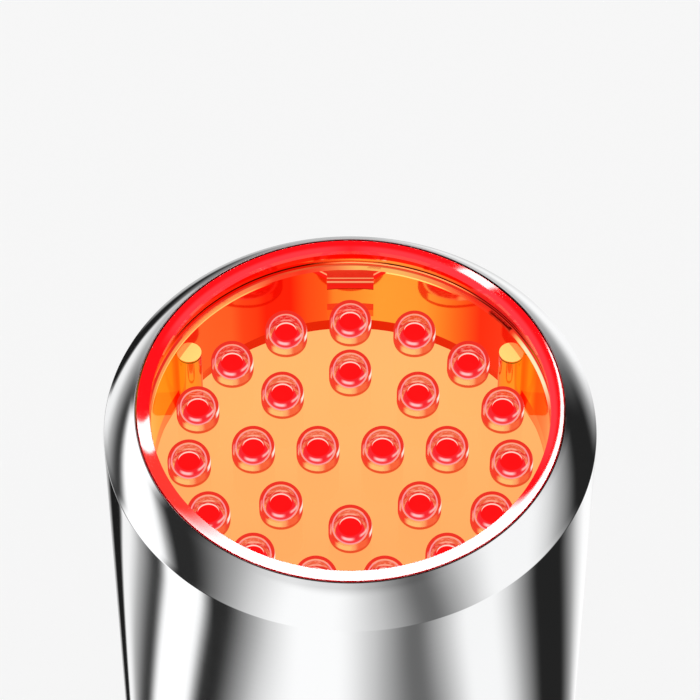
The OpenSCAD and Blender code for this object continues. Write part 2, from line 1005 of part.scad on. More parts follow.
// Wires from the two battery tabs to the back of the main board
module battery_leads() {
    color("firebrick") {
        facing(cell_top + tab_t + wire_r)
            translate([0, 0, -tab_y - tab_lip / 2])
                cylinder(r = wire_r, h = board_rear + tab_y + tab_lip / 2, $fn = 24);
        facing(board_z + tab_rise / 2)
            translate([0, 0, -tab_y])
                cylinder(r = wire_r, h = board_rear + tab_y, $fn = 24);
    }
}

// Wires from the charging board up to the main board
module charge_leads() {
    base = cap_floor + contact_head_h + charge_board_t;
    color("firebrick")
        for (side = [-1, 1])
            translate([side * charge_wire_x, charge_wire_y, base])
                cylinder(r = wire_r, h = board_z + charge_wire_rise - base, $fn = 24);
}

// Tail cap: a turned cup whose spigot plugs the barrel, with a bevelled foot
module tail_cap() {
    groove_r = bore_r - 2 * seal_r - fit_gap;
    color("silver")
        difference() {
            rotate_extrude($fn = 180)
                polygon([
                    [0, foot_t],
                    [foot_r + fit_gap, foot_t],
                    [foot_r + fit_gap, cap_z],
                    [body_r - cap_bevel, cap_z],
                    [body_r, cap_z + cap_bevel],
                    [body_r, seam_z],
                    [spigot_r, seam_z],
                    [spigot_r, seal_z - seal_r - fit_gap],
                    [groove_r, seal_z - seal_r - fit_gap],
                    [groove_r, seal_z + seal_r + fit_gap],
                    [spigot_r, seal_z + seal_r + fit_gap],
                    [spigot_r, spigot_top],
                    [cavity_r, spigot_top],
                    [cavity_r, cap_floor],
                    [0, cap_floor]
                ]);
            around(trio, clip_at)
                translate([tail_boss_ring, 0, 0]) {
                    cylinder(r = tail_head_r + fit_gap, h = foot_t + tail_head_h, $fn = 32);
                    cylinder(r = tail_screw_r + screw_gap, h = cap_floor + past, $fn = 32);
                }
            for (side = [-1, 1])
                translate([side * contact_x, 0, 0])
                    cylinder(r = contact_r + fit_gap / 2, h = cap_floor + past, $fn = 48);
        }
}

module tail_seal() {
    color("black")
        translate([0, 0, seal_z])
            rotate_extrude($fn = 120)
                translate([bore_r - seal_r - fit_gap / 2, 0])
                    circle(r = seal_r, $fn = 32);
}

module tail_screws() {
    color("dimgray")
        around(trio, clip_at)
            translate([tail_boss_ring, 0, foot_t])
                screw(tail_screw_r, tail_head_r, tail_head_h, tail_grip, $fn = 32);
}

// Charging board: a round board over the contacts, with a tongue for the wires
module charge_board() {
    color("seagreen")
        translate([0, 0, cap_floor + contact_head_h])
            union() {
                cylinder(r = contact_x + charge_board_edge, h = charge_board_t);
                translate([-charge_board_w / 2, charge_wire_y - charge_board_edge, 0])
                    cube([charge_board_w, charge_board_edge - charge_wire_y, charge_board_t]);
            }
}

// Charging contacts: two headed pins through the tail cap, set back from the foot
module charge_contacts() {
    color("gold")
        for (side = [-1, 1])
            translate([side * contact_x, 0, 0]) {
                translate([0, 0, foot_proud / 2])
                    cylinder(r = contact_r, h = cap_floor + (contact_head_h - foot_proud) / 2, $fn = 48);
                translate([0, 0, cap_floor])
                    cylinder(r = contact_r + contact_head_w, h = contact_head_h, $fn = 48);
            }
}

// Foot pad: a soft disc in the foot of the cap, with two holes for the charging contacts
module foot_pad() {
    color("dimgray")
        difference() {
            cylinder(r = foot_r, h = foot_t);
            for (side = [-1, 1])
                translate([side * contact_x, 0, -past])
                    cylinder(r = contact_r + contact_hole, h = foot_t + 2 * past, $fn = 48);
        }
}

barrel();
lens_ring();
front_window();
window_gasket();
chamber_wall();
chamber_clips();
led_carrier();
led_lenses();
led_emitters();
led_board();
thermal_pad();
heat_sink();
chamber_screws();
button_panel();
panel_gasket();
power_button();
mode_button();
power_plunger();
mode_plunger();
power_switch();
mode_switch();
indicator_lenses();
chassis();
main_board();
board_parts();
board_screws();
battery_cell();
battery_tabs();
battery_pads();
battery_straps();
led_leads();
battery_leads();
charge_leads();
tail_cap();
tail_seal();
tail_screws();
charge_board();
charge_contacts();
foot_pad();
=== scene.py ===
# %% [markdown]
# # A chromed light wand, told in steps
# The object is a handheld skincare wand: a mirror-bright round barrel with a bevelled head. A glowing
# red ring and a clear window close an orange chamber, where 25 red LED lamps stand on a floor that
# glows evenly. The solids come from the CAD model. Here they get their finishes, and the round pieces
# that catch the light are drawn again with rounded edges and far finer meshes.

# %% Load the frame and bake each node's placement into its mesh
import math
import bpy
import numpy as np
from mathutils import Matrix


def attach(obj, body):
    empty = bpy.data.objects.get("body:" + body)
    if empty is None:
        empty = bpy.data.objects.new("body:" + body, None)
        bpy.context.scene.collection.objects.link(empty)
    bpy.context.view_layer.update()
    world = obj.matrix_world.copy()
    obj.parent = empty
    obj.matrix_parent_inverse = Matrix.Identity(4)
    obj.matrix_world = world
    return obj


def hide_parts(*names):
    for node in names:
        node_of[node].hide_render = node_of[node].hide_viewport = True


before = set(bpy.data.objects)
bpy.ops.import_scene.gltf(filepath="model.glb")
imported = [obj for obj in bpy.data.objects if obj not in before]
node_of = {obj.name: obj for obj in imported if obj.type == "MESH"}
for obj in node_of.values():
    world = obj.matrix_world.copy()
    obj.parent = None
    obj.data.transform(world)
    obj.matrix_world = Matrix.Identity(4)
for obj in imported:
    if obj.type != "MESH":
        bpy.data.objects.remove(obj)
scene = bpy.context.scene
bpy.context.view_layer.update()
MM = 0.001

# %% [markdown]
# ## The measures
# Every redrawn piece is given in millimetres, in the frame of the CAD: the foot's face is at height 0,
# the barrel's axis is the Z axis and the buttons face -Y. The numbers repeat the CAD's own, so that a
# redrawn piece sits where its solid was. The lamps differ on purpose. The straight side of a dome is
# 1.3 mm here and 1.44 mm in the solid, because the photograph was measured again later, its hollow is
# a ball instead of a tube, and the red cups further down have more shape than their solids.

# %% Sizes of the barrel, the window and the chamber
BODY_R, BORE_R, MOUTH_R = 22.7, 21.3, 19.65
SEAM_Z, CREASE_Z, HEAD_Z = 9.0, 161.8, 165.0
MOUTH_LAND = 0.1
MOUTH_DEPTH = 2.0
RING_R, RING_IN_R, RING_Z, RING_DISH = 19.55, 18.35, 164.4, 0.1
WINDOW_R, WINDOW_Z, WINDOW_T = 18.85, 162.35, 2.0
CHAMBER_R, LEDGE_Z, LED_Z = 18.4, 162.05, 157.21
PANEL_Z, PANEL_W, PANEL_L = 112.0, 15.2, 41.2
LED_RINGS = ((2, 3.0, 0.0), (8, 9.0, 90.0), (15, 15.0, 90.0))
LED_R, LED_SIDE, BULB_R = 2.0, 1.3, 1.67
POST_TOP = 161.7

# %% [markdown]
# ## Round pieces as turned meshes
# A mirror shows every flat of a coarse mesh and every hard edge. A subdivision surface would be round,
# but its radii are hard to give in figures. So each round piece is turned on a lathe in code: its
# section is a list of corners, every corner gets its own rounding, and the true normals of the section
# are handed to the mesh, so the shading is exact between the points as well.

# %% A section with rounded corners, and its normals
ARC_STEP = 7.5
TINY, ON_AXIS = 1e-5, 1e-6


def section(corners, closed=True):
    """Points and outward normals of an outline that keeps its material on its left; in millimetres."""
    points, normals = [], []
    last = len(corners) - 1
    for i, (r, z, rounding) in enumerate(corners):
        here = np.array([r, z], float)
        way_in = here - np.array(corners[i - 1][:2], float)
        way_out = np.array(corners[(i + 1) % len(corners)][:2], float) - here
        if not closed and i == 0:
            way_in = way_out
        if not closed and i == last:
            way_out = way_in
        way_in, way_out = way_in / np.linalg.norm(way_in), way_out / np.linalg.norm(way_out)
        cross = way_in[0] * way_out[1] - way_in[1] * way_out[0]
        turn = math.atan2(cross, way_in @ way_out)
        out = np.array([way_in[1], -way_in[0]])
        start = here - way_in * rounding * abs(math.tan(turn / 2))
        side = 1 if turn > 0 else -1
        steps = max(1, math.ceil(abs(math.degrees(turn)) / ARC_STEP)) if rounding else 0
        for k in range(steps + 1):
            a = turn * (k / steps if steps else 0.5)
            cos, sin = math.cos(a), math.sin(a)
            n = np.array([out[0] * cos - out[1] * sin, out[0] * sin + out[1] * cos])
            p = start + side * rounding * (n - out)
            if not points or np.linalg.norm(p - points[-1]) > TINY:
                points.append(p)
                normals.append(n)
    return np.array(points), np.array(normals)


# %% [markdown]
# The lathe itself turns the section round the Z axis. A point on the axis becomes one single vertex, so
# domes close cleanly. The same turned shape can be set down at many places, which is how 25 lamps
# become one mesh. Each point also remembers where it lies on its own copy, so that one material can
# treat all the copies alike.

# %% The lathe
def turned(name, corners, segments, closed=True, places=((0.0, 0.0),)):
    """A mesh object, turned from a section and set down at each place (x, y), in millimetres."""
    points, normals = section(corners, closed)
    angles = (np.arange(segments) + 0.5) * 2 * math.pi / segments
    verts, shading, rows = [], [], []
    for (r, z), (nr, nz) in zip(points, normals):
        if r < ON_AXIS:
            rows.append([len(verts)] * segments)
            verts.append((0, 0, z))
            shading.append((0, 0, math.copysign(1, nz)))
            continue
        rows.append(list(range(len(verts), len(verts) + segments)))
        verts += [(r * math.cos(a), r * math.sin(a), z) for a in angles]
        shading += [(nr * math.cos(a), nr * math.sin(a), nz) for a in angles]
    faces = []
    for i in range(len(rows) if closed else len(rows) - 1):
        low, high = rows[i], rows[(i + 1) % len(rows)]
        for j in range(segments):
            k = (j + 1) % segments
            face = [low[j], low[k], high[k], high[j]]
            faces.append(list(dict.fromkeys(face)))
    verts, shading = np.array(verts), np.array(shading)
    all_verts = np.concatenate([verts + (x, y, 0) for x, y in places]) * MM
    all_faces = [[v + n * len(verts) for v in face] for n in range(len(places)) for face in faces]
    mesh = bpy.data.meshes.new(name)
    mesh.from_pydata(all_verts.tolist(), [], all_faces)
    mesh.shade_smooth()
    mesh.normals_split_custom_set_from_vertices(np.tile(shading, (len(places), 1)).tolist())
    own = mesh.attributes.new("own_place", "FLOAT_VECTOR", "POINT")
    own.data.foreach_set("vector", np.tile(verts, (len(places), 1)).ravel())
    made = bpy.data.objects.new(name, mesh)
    scene.collection.objects.link(made)
    print(name, len(mesh.vertices), "points,", len(mesh.polygons), "faces")
    return made


def stands_for(piece, node, material):
    """The piece takes a CAD node's place, body and material slot."""
    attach(piece, "wand")
    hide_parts(node)
    piece.data.materials.append(material)


# %% [markdown]
# ## The camera
# The photograph looks down on the head from in front, 53.5 degrees above the horizon, with a long lens.
# The camera was fitted to the pattern of the lamps and to the circles of the ring and the bevel. Only
# those few numbers are left here: where it stands in metres, how many degrees it tips down, and its lens
# and sensor in millimetres.

# %% Camera
CAMERA_AT = (-0.000023, -0.2114, 0.4428)
CAMERA_DOWN = 51.905
LENS, SENSOR, NEAR_CLIP = 196.33, 36.0, 0.01
eye = bpy.data.cameras.new("eye")
eye.lens = LENS
eye.sensor_width = SENSOR
eye.clip_start = NEAR_CLIP
camera = bpy.data.objects.new("eye", eye)
camera.location = CAMERA_AT
camera.rotation_euler = (math.radians(90 - CAMERA_DOWN), 0, 0)
scene.collection.objects.link(camera)
scene.camera = camera
scene.view_settings.view_transform = "Standard"
print("camera", CAMERA_AT, "lens", eye.lens)

# %% [markdown]
# ## Shader maths in plain Python
# A node tree is easier to read as a sum than as a web of boxes. One small class wraps a socket, and its
# operators add Math nodes. Any other node comes from one method that takes the node's type, its
# settings and what goes into its sockets.


# %% Sockets that can be added and multiplied
class Wire:
    def __init__(self, net, socket):
        self.net, self.socket = net, socket

    def math(self, operation, *others):
        return self.net.math(operation, self, *others)

    def __add__(self, other):
        return self.net.math("ADD", self, other)

    def __sub__(self, other):
        return self.net.math("SUBTRACT", self, other)

    def __mul__(self, other):
        return self.net.math("MULTIPLY", self, other)

    def __truediv__(self, other):
        return self.net.math("DIVIDE", self, other)

    def __rsub__(self, other):
        return self.net.math("SUBTRACT", other, self)

    def __rtruediv__(self, other):
        return self.net.math("DIVIDE", other, self)

    __radd__ = __add__
    __rmul__ = __mul__

    def ramp(self, low, high, start=0.0, end=1.0):
        """Smooth passage from start to end while the value goes from low to high."""
        return self.net.node("MapRange", {"interpolation_type": "SMOOTHSTEP"},
                             {0: self, 1: low, 2: high, 3: start, 4: end})

    def between(self, low, high, edge):
        """1 between low and high, 0 outside, with soft edges of that width."""
        rise = self.ramp(low - edge / 2, low + edge / 2)
        return rise * self.ramp(high - edge / 2, high + edge / 2, 1.0, 0.0)


class Net:
    def __init__(self, tree, name):
        self.tree, self.name = tree, name
        tree.nodes.clear()

    def node(self, kind, settings=None, sockets=None, out=0):
        made = self.tree.nodes.new("ShaderNode" + kind)
        for name, value in (settings or {}).items():
            setattr(made, name, value)
        for key, value in (sockets or {}).items():
            if isinstance(value, Wire):
                self.tree.links.new(value.socket, made.inputs[key])
            else:
                made.inputs[key].default_value = value
        return Wire(self, made.outputs[out]) if made.outputs else made

    def math(self, operation, *values):
        return self.node("Math", {"operation": operation}, dict(enumerate(values)))

    def mix(self, share, a, b):
        """A colour between a and b."""
        return self.node("Mix", {"data_type": "RGBA"}, {0: share, 6: colour(a), 7: colour(b)}, 2)

    def place(self):
        """Where a point lies on the object, in metres: x, y and z."""
        at = self.node("TexCoord", out="Object")
        return [self.node("SeparateXYZ", sockets={0: at}, out=i) for i in range(3)]

    def polar(self, front=False):
        """Degrees to the right from the back, or from the front; radius and height in millimetres."""
        x, y, z = self.place()
        around = x.math("ARCTAN2", y * -1.0 if front else y) * math.degrees(1)
        return around, (x * x + y * y).math("SQRT") / MM, z / MM

    def normal(self):
        """Which way the surface faces, before any bump: x, y and z."""
        way = self.node("NewGeometry", out="Normal")
        return [self.node("SeparateXYZ", sockets={0: way}, out=i) for i in range(3)]

    def own_place(self):
        """Where a point lies on its own copy of a turned piece, in millimetres: x, y and z."""
        at = self.node("Attribute", {"attribute_name": "own_place"}, out="Vector")
        return [self.node("SeparateXYZ", sockets={0: at}, out=i) for i in range(3)]

    def noise(self, scale, detail=3.0, stretch=(1, 1, 1)):
        """Noise of that many waves to the metre, from about 0.2 to 0.8."""
        at = self.node("TexCoord", out="Object")
        at = self.node("Mapping", sockets={"Vector": at, "Scale": stretch})
        return self.node("TexNoise", sockets={"Vector": at, "Scale": scale, "Detail": detail}, out="Fac")

    def bump(self, height, depth):
        """A normal that follows a height from 0 to 1, which stands for a depth in metres."""
        return self.node("Bump", sockets={"Height": height, "Distance": depth, "Strength": 1.0})

    def along(self, value, stops):
        """A colour that changes along a value; stops are (value, colour) in rising order."""
        low, high = stops[0][0], stops[-1][0]
        share = self.node("MapRange", sockets={0: value, 1: low, 2: high})
        found = self.node("ValToRGB", sockets={0: share})
        points = found.socket.node.color_ramp.elements
        points[0].color, points[1].color = colour(stops[0][1]), colour(stops[-1][1])
        for at, tone in stops[1:-1]:
            points.new((at - low) / (high - low)).color = colour(tone)
        return found

    def steepness(self):
        """0 where a surface is seen straight on, 1 where it is seen edge-on."""
        return self.node("LayerWeight", sockets={"Blend": 0.5}, out="Facing")

    def mirroring(self):
        """How much a coated clear surface mirrors: nothing straight on, half of it edge-on."""
        return self.steepness().ramp(0.5, 1.0, 0.0, 0.5)

    def blend(self, share, a, b):
        """A shader between two shaders."""
        return self.node("MixShader", sockets={0: share, 1: a, 2: b})

    def end(self, shader, kind="OutputMaterial"):
        self.node(kind, sockets={0: shader})
        print(self.name, "has", len(self.tree.nodes), "shader nodes")


def colour(value):
    """A grey, a triple or a wire, as a socket takes it."""
    if isinstance(value, Wire):
        return value
    if isinstance(value, (int, float)):
        return (value, value, value, 1.0)
    return (*value[:3], 1.0)


def finish(name):
    """A new material and the net that its nodes go into."""
    made = bpy.data.materials.new(name)
    made.use_nodes = True
    return made, Net(made.node_tree, name)


# %% [markdown]
# ## The studio
# A polished barrel has no colour of its own: it shows the room. The room here is a ring of soft cards,
# each given by its place round the horizon, its soft edges and its brightness. Azimuth 0 is towards
# the camera's side, positive to the right. Metal and glass see this room. Matt surfaces are lit by a
# plain white dome instead, so that a colour renders about as it is written, and the camera sees the
# pale backdrop.

# %% Cards round the horizon
BACKDROP = 0.939
ROOM_GREY = 0.54
CARDS = (
    # name, from, to, soft edge at each end (degrees), brightness
    ("front card", -35.5, 5.0, 25.0, 25.5, 1.08),
    ("left flag", -75.0, -50.0, 4.5, 24.5, 0.025),
    ("left card", -98.5, -74.0, 9.0, 12.5, 1.21),
    ("left slit", -115.0, -101.0, 19.0, 7.5, 0.054),
    ("side card", -138.5, -124.5, 3.5, 13.0, 0.97),
    ("back left flag", -160.5, -139.0, 12.0, 7.0, 0.013),
    ("far left card", -190.0, -171.5, 20.0, 7.0, 0.6),
    ("right shade", 20.0, 39.0, 19.0, 15.5, 0.15),
    ("right card", 50.0, 79.5, 16.5, 19.0, 1.03),
    ("right flag", 90.5, 128.0, 21.0, 22.0, 0.018),
    ("back right card", 138.0, 170.0, 19.5, 35.0, 1.04),
)
# The bevel sees the room in an arched band: its lower edge and its width at the azimuth 0, and their change
BAND_LOW, BAND_LOW_SAG, BAND_WIDE, BAND_TAPER = 18.9, 0.00207, 21.8, 0.047
BODY_TOP, BODY_TOP_SAG = -56.2, 0.0001
LEAN_LEFT, LEAN_RIGHT = 27.5, 21.0
OPEN_LEFT, OPEN_RIGHT = 8.1, 5.9
FAR_GREY, FAR_END = 0.38, 0.55
ROOF = 0.03


# %% [markdown]
# The bands on the barrel slant: over the bevel they run outwards, and down the barrel they open towards
# the foot. In a real studio that comes from cards that lean and from cards that lie on the table. Here
# the azimuth is sheared by the height of the view ray before the cards are looked up. Towards the back
# the cards fade to grey, and straight above the wand the room is dark, which keeps the reds deep.

# %% The room that metal and glass see
def room_light(net):
    at = net.node("TexCoord", out="Generated")
    x, y, z = [net.node("SeparateXYZ", sockets={0: at}, out=i) for i in range(3)]
    azimuth = x.math("ARCTAN2", y * -1.0) * math.degrees(1)
    height = z.math("ARCSINE") * math.degrees(1)
    side = azimuth.math("ABSOLUTE")
    right = azimuth.math("GREATER_THAN", 0.0)
    low = BAND_LOW - BAND_LOW_SAG * side * side
    over = ((height - low) / (BAND_WIDE - BAND_TAPER * side)).math("MAXIMUM", 0.0).math("MINIMUM", 1.3)
    lean = over * side.ramp(20, 130) * (LEAN_LEFT + (LEAN_RIGHT - LEAN_LEFT) * right)
    under = (BODY_TOP + BODY_TOP_SAG * side * side - height).math("MAXIMUM", 0.0).math("MINIMUM", 6.0)
    opening = OPEN_LEFT * side.ramp(130, 170, 1.0, 0.0) * (1.0 - right) + OPEN_RIGHT * right
    opening = under * opening * height.ramp(-50, -46, 1.0, 0.0) * side.ramp(10, 50)
    turned_az = azimuth - azimuth.math("SIGN") * (lean + opening)
    light = ROOM_GREY
    for _, low, high, soft_low, soft_high, level in CARDS:
        inside = turned_az.ramp(low - soft_low / 2, low + soft_low / 2)
        inside = inside * turned_az.ramp(high - soft_high / 2, high + soft_high / 2, 1.0, 0.0)
        light = light + inside * (level - light)
    grey = over.ramp(0.38, 0.98) * side.ramp(124, 154) * 0.75
    light = light + grey * (FAR_GREY - light)
    far_end = side.ramp(168, 180) + right * (side.ramp(174, 180) - side.ramp(168, 180))
    light = light + far_end * (FAR_END - light)
    light = light * height.ramp(34.4, 44.4, 1.0, 0.45)
    overhead = height.ramp(44, 50)
    return light + overhead * (ROOF - light), x, y, z


# %% [markdown]
# The white streaks on the red ring are mirror images of strong lamps high behind the wand: one long
# curved lamp that is cut off at a slant, and two small ones. They have to be 25 times as bright as
# white, because clear plastic mirrors only a twenty-fifth of what it sees. Each is a part of a ring in
# the sky, given by its angles round the ring's centre. Only mirror images show them: matt surfaces
# aren't lit by them.

# %% Strong lamps behind the wand
LAMP = 26.0
LAMP_CENTRE, LAMP_NEAR, LAMP_FAR = 0.595, 0.035, 0.14
LONG_LAMP_FROM, LONG_LAMP_TO, LONG_LAMP_TAIL = (-42.0, -25.0), 47.0, 63.0
LONG_LAMP_RIM, LONG_LAMP_WIDE = 0.112, 0.0604
LEFT_LAMP, RIGHT_LAMP, RIGHT_LAMP_FAR = (-79.0, -65.3), (138.5, 150.0), 0.1
world = bpy.data.worlds.new("studio")
scene.world = world
world.use_nodes = True
net = Net(world.node_tree, world.name)
light, x, y, z = room_light(net)
lamp_y = y - LAMP_CENTRE
lamp_angle = (x * -1.0).math("ARCTAN2", lamp_y) * math.degrees(1)
lamp_far = (x * x + lamp_y * lamp_y).math("SQRT")
turned_angle = lamp_angle * (1.2 - 2.0 * lamp_far)
inwards = ((LONG_LAMP_RIM - lamp_far) / LONG_LAMP_WIDE).math("MAXIMUM", 0.0).math("MINIMUM", 1.0)
past_end = lamp_angle - LONG_LAMP_TO - LONG_LAMP_TAIL * inwards.math("POWER", 3.0)
lamp = turned_angle.ramp(*LONG_LAMP_FROM) * past_end.ramp(-7.0, 2.0, 1.0, 0.0)
lamp = lamp.math("MAXIMUM", turned_angle.between(*LEFT_LAMP, 1.5))
right_lamp = lamp_angle.between(*RIGHT_LAMP, 1.5)
right_lamp = right_lamp * lamp_far.ramp(RIGHT_LAMP_FAR - 0.01, RIGHT_LAMP_FAR, 1.0, 0.0)
lamp = lamp.math("MAXIMUM", right_lamp)
lamp = lamp * lamp_far.between(LAMP_NEAR, LAMP_FAR, 0.004) * z.ramp(0.5, 0.55)
light = light + lamp * LAMP

# %% What each kind of ray sees
WHITE_DOME = 0.95
camera_ray, glossy_ray, through_ray = [
    net.node("LightPath", out=f"Is {kind} Ray") for kind in ("Camera", "Glossy", "Transmission")]
mirror_ray = glossy_ray.math("MAXIMUM", through_ray)
level = mirror_ray * light + (1.0 - mirror_ray) * WHITE_DOME
level = camera_ray * BACKDROP + (1.0 - camera_ray) * level
net.end(net.node("Background", sockets={0: level, 1: 1.0}), "OutputWorld")
print("cards", len(CARDS))

# %% [markdown]
# ## The floor
# The wand stands on a pale table. Its far part fills the picture behind the head, so it carries the
# backdrop's tone, and it keeps some of its own shading, so that the wand still throws a soft shadow.
# Mirrors don't see it: what they show is the room.

# %% Floor
FLOOR_SIZE, FLOOR_DROP, FLOOR_FLAT = 4.0, 0.0001, 0.8
bpy.ops.mesh.primitive_plane_add(size=FLOOR_SIZE, location=(0, 0, -FLOOR_DROP))
floor = bpy.context.object
floor.name = "floor"
floor.visible_glossy = False
floor_finish, net = finish("pale_table")
grain = net.noise(900.0, 2.0)
paint = net.node("BsdfPrincipled", sockets={
    "Base Color": net.mix(grain, 0.93, 0.95), "Roughness": 0.9, "Specular IOR Level": 0.0})
seen = net.node("LightPath", out="Is Camera Ray")
glow = net.node("Emission", sockets={0: colour(BACKDROP), 1: 1.0})
net.end(net.blend(seen * FLOOR_FLAT, paint, glow))
floor.data.materials.append(floor_finish)

# %% [markdown]
# ## Chrome
# The barrel and the tail cap are polished and chromed. The base colour is a high, slightly cool grey,
# the metal is full, and the roughness is close to a mirror, with faint clouds of wiping and a few fine
# rings left by polishing on a lathe. The narrow land round the mouth is painted dark: a painted shade
# line in the joint by the ring, which also keeps the lamps' mirror image off it. The two buttons take the
# same recipe, darker and more satin.

# %% Chrome finish
LAND_SHADE_Z = (161.5, 162.0)
POLISH_DEPTH = 0.0000002


def chrome(name, tone, rough, ring_waves):
    made, net = finish(name)
    _, radius, high = net.polar()
    cloud = net.noise(60.0, 4.0)
    rings = net.noise(ring_waves, 1.0, (0.02, 0.02, 1.0))
    rough_here = rough + rough * 0.5 * (cloud - 0.5) + 0.012 * (rings - 0.5)
    # The land by the mouth is painted dark: painted shade in the joint next to the ring.
    land_shade = radius.ramp(MOUTH_R + MOUTH_LAND + 0.01, MOUTH_R + MOUTH_LAND - 0.01) * high.ramp(*LAND_SHADE_Z)
    polished = net.mix(cloud, [t * 0.985 for t in tone], tone)
    paint = net.node("BsdfPrincipled", sockets={
        "Base Color": net.mix(land_shade, polished, (0.05, 0.03, 0.03)), "Metallic": 1.0,
        "Roughness": rough_here.math("MAXIMUM", 0.01),
        "Normal": net.bump(rings, POLISH_DEPTH)})
    net.end(paint)
    return made


CHROME = chrome("chrome", (0.90, 0.905, 0.91), 0.045, 2500.0)

# %% [markdown]
# ## The barrel
# One drawn tube whose head turns in to the mouth. The bevel isn't quite flat: a slight crown of a tenth
# of a millimetre is what polishing leaves, and it makes the bands sweep across it. The hole for the
# button panel is cut by an exact boolean, and then the true normals are set again, because a cut mesh
# loses them.

# %% Turn the barrel
# The crown's corner stands out by 0.19 mm, and its wide rounding leaves about 0.12 mm of that
BEVEL_CROWN, CROWN_ROUND = 0.19, 19.0
CREASE_ROUND, EDGE_ROUND, SEAM_ROUND, LAND_ROUND, BORE_ROUND = 0.3, 0.12, 0.15, 0.04, 0.1
FINE_TURN = 360
bevel = np.array([MOUTH_R + MOUTH_LAND - BODY_R, HEAD_Z - CREASE_Z])
bevel_mid = np.array([BODY_R, CREASE_Z]) + bevel / 2
bevel_out = np.array([bevel[1], -bevel[0]]) / np.linalg.norm(bevel)
crown = bevel_mid + bevel_out * BEVEL_CROWN
barrel_section = [
    (BODY_R, SEAM_Z, SEAM_ROUND),
    (BODY_R, CREASE_Z, CREASE_ROUND),
    (crown[0], crown[1], CROWN_ROUND),
    (MOUTH_R + MOUTH_LAND, HEAD_Z, EDGE_ROUND),
    (MOUTH_R, HEAD_Z, LAND_ROUND),
    (MOUTH_R, HEAD_Z - MOUTH_DEPTH, BORE_ROUND),
    (BORE_R, HEAD_Z - MOUTH_DEPTH - (BORE_R - MOUTH_R), BORE_ROUND),
    (BORE_R, SEAM_Z, BORE_ROUND),
]
barrel = turned("chromed_barrel", barrel_section, FINE_TURN)


# %% A cutter in the panel's outline
CUT_OUT, CUT_IN = 1.0, 4.0


def stadium_points(width, length, steps=48):
    half = (length - width) / 2
    return [(width / 2 * math.cos(a), width / 2 * math.sin(a) + (half if a < math.pi else -half))
            for a in [math.pi * (k + 0.5) / steps for k in range(2 * steps)]]


outline = stadium_points(PANEL_W, PANEL_L)
near_y, far_y = -BODY_R - CUT_OUT, -BORE_R + CUT_IN
count = len(outline)
cut_verts = [(px * MM, y0 * MM, (PANEL_Z + pz) * MM) for y0 in (near_y, far_y) for px, pz in outline]
cut_faces = [list(range(count)), list(range(2 * count - 1, count - 1, -1))]
cut_faces += [[k, k + count, (k + 1) % count + count, (k + 1) % count] for k in range(count)]
cut_mesh = bpy.data.meshes.new("panel_cut")
cut_mesh.from_pydata(cut_verts, [], cut_faces)
cut = bpy.data.objects.new("panel_cut", cut_mesh)
scene.collection.objects.link(cut)
print("cutter", len(cut_verts), "points")

# %% Cut the hole, then give the true normals back
MICRO_PER_METRE = 1e6
# A true normal is kept where it leans less than 53 degrees from its face: this is the cosine
SAME_WAY = 0.6


def spot_of(point):
    """The point to the micrometre, as a key to find it again."""
    return tuple(np.round(point * MICRO_PER_METRE).astype(int))


true_points = np.array([v.co for v in barrel.data.vertices])
true_normals = np.array([v.vector for v in barrel.data.vertex_normals])
boolean = barrel.modifiers.new("hole", "BOOLEAN")
boolean.object, boolean.operation, boolean.solver = cut, "DIFFERENCE", "EXACT"
bpy.context.view_layer.update()
holed = bpy.data.meshes.new_from_object(barrel.evaluated_get(bpy.context.evaluated_depsgraph_get()))
barrel.modifiers.clear()
bpy.data.objects.remove(cut)
known = {spot_of(p): i for i, p in enumerate(true_points)}
corner_normals = []
for face in holed.polygons:
    flat = np.array(face.normal)
    for v in face.vertices:
        at = np.array(holed.vertices[v].co)
        found = known.get(spot_of(at))
        if found is not None:
            best = true_normals[found]
        else:
            best = np.array([at[0], at[1], 0]) / math.hypot(at[0], at[1])
            best = best if best @ flat > 0 else -best
        corner_normals.append(tuple(best if best @ flat > SAME_WAY else flat))
holed.shade_smooth()
holed.normals_split_custom_set(corner_normals)
barrel.data = holed
stands_for(barrel, "barrel", CHROME)
print("barrel with its hole", len(holed.vertices), "points")

# %% [markdown]
# ## The lens ring
# A thin ring of clear red plastic that glows from the light below it. It is polished, so it mirrors
# the lamps behind the wand over its whole front. Its outer band is a purer red than its inner one,
# where the light leaks through the edge of the window.

# %% Ring of red light
made, net = finish("red_ring")
around, radius, _ = net.polar(front=True)
inner = radius.ramp(RING_IN_R + 0.75, RING_IN_R + 0.35)
leak = inner * (around.between(70, 178, 16) + around.between(-178, -116, 14))
glow = net.mix(leak, (1.0, 0.004, 0.007), (1.0, 0.045, 0.06))
glow = net.mix(around.between(-75, -46, 8), glow, (0.88, 0.045, 0.03))
# The outermost edge of the ring is painted dark red: painted shade beside the chrome.
glow = net.mix(radius.ramp(RING_R - 0.06, RING_R - 0.02), glow, (0.25, 0.0, 0.002))
speck = net.noise(400.0, 2.0)
paint = net.node("BsdfPrincipled", sockets={
    "Base Color": (0.35, 0.002, 0.004, 1.0), "Roughness": 0.02 + 0.01 * speck, "IOR": 1.49,
    "Emission Color": glow, "Emission Strength": 0.9})
net.end(paint)

# %% Ring shape
RING_CROWN, RING_CROWN_ROUND, RING_BACK_ROUND, RING_EDGE_ROUND = 0.006, 28.5, 0.04, 0.03
ring = turned("red_lens_ring", [
    (RING_IN_R, RING_Z, RING_BACK_ROUND),
    (RING_R, RING_Z, RING_BACK_ROUND),
    (RING_R, HEAD_Z, RING_EDGE_ROUND),
    ((RING_R + RING_IN_R) / 2, HEAD_Z - RING_DISH / 2 + 2 * RING_CROWN, RING_CROWN_ROUND),
    (RING_IN_R, HEAD_Z - RING_DISH, RING_EDGE_ROUND),
], FINE_TURN)
stands_for(ring, "lens_ring", made)

# %% [markdown]
# ## The window
# The window is a clear polished disc. A glass shader would bend and darken the view of the lamps for
# no gain, so it is made of two simple shaders: one that lets light straight through, and a gloss
# that shows only towards grazing angles, because the pane is coated against reflections.

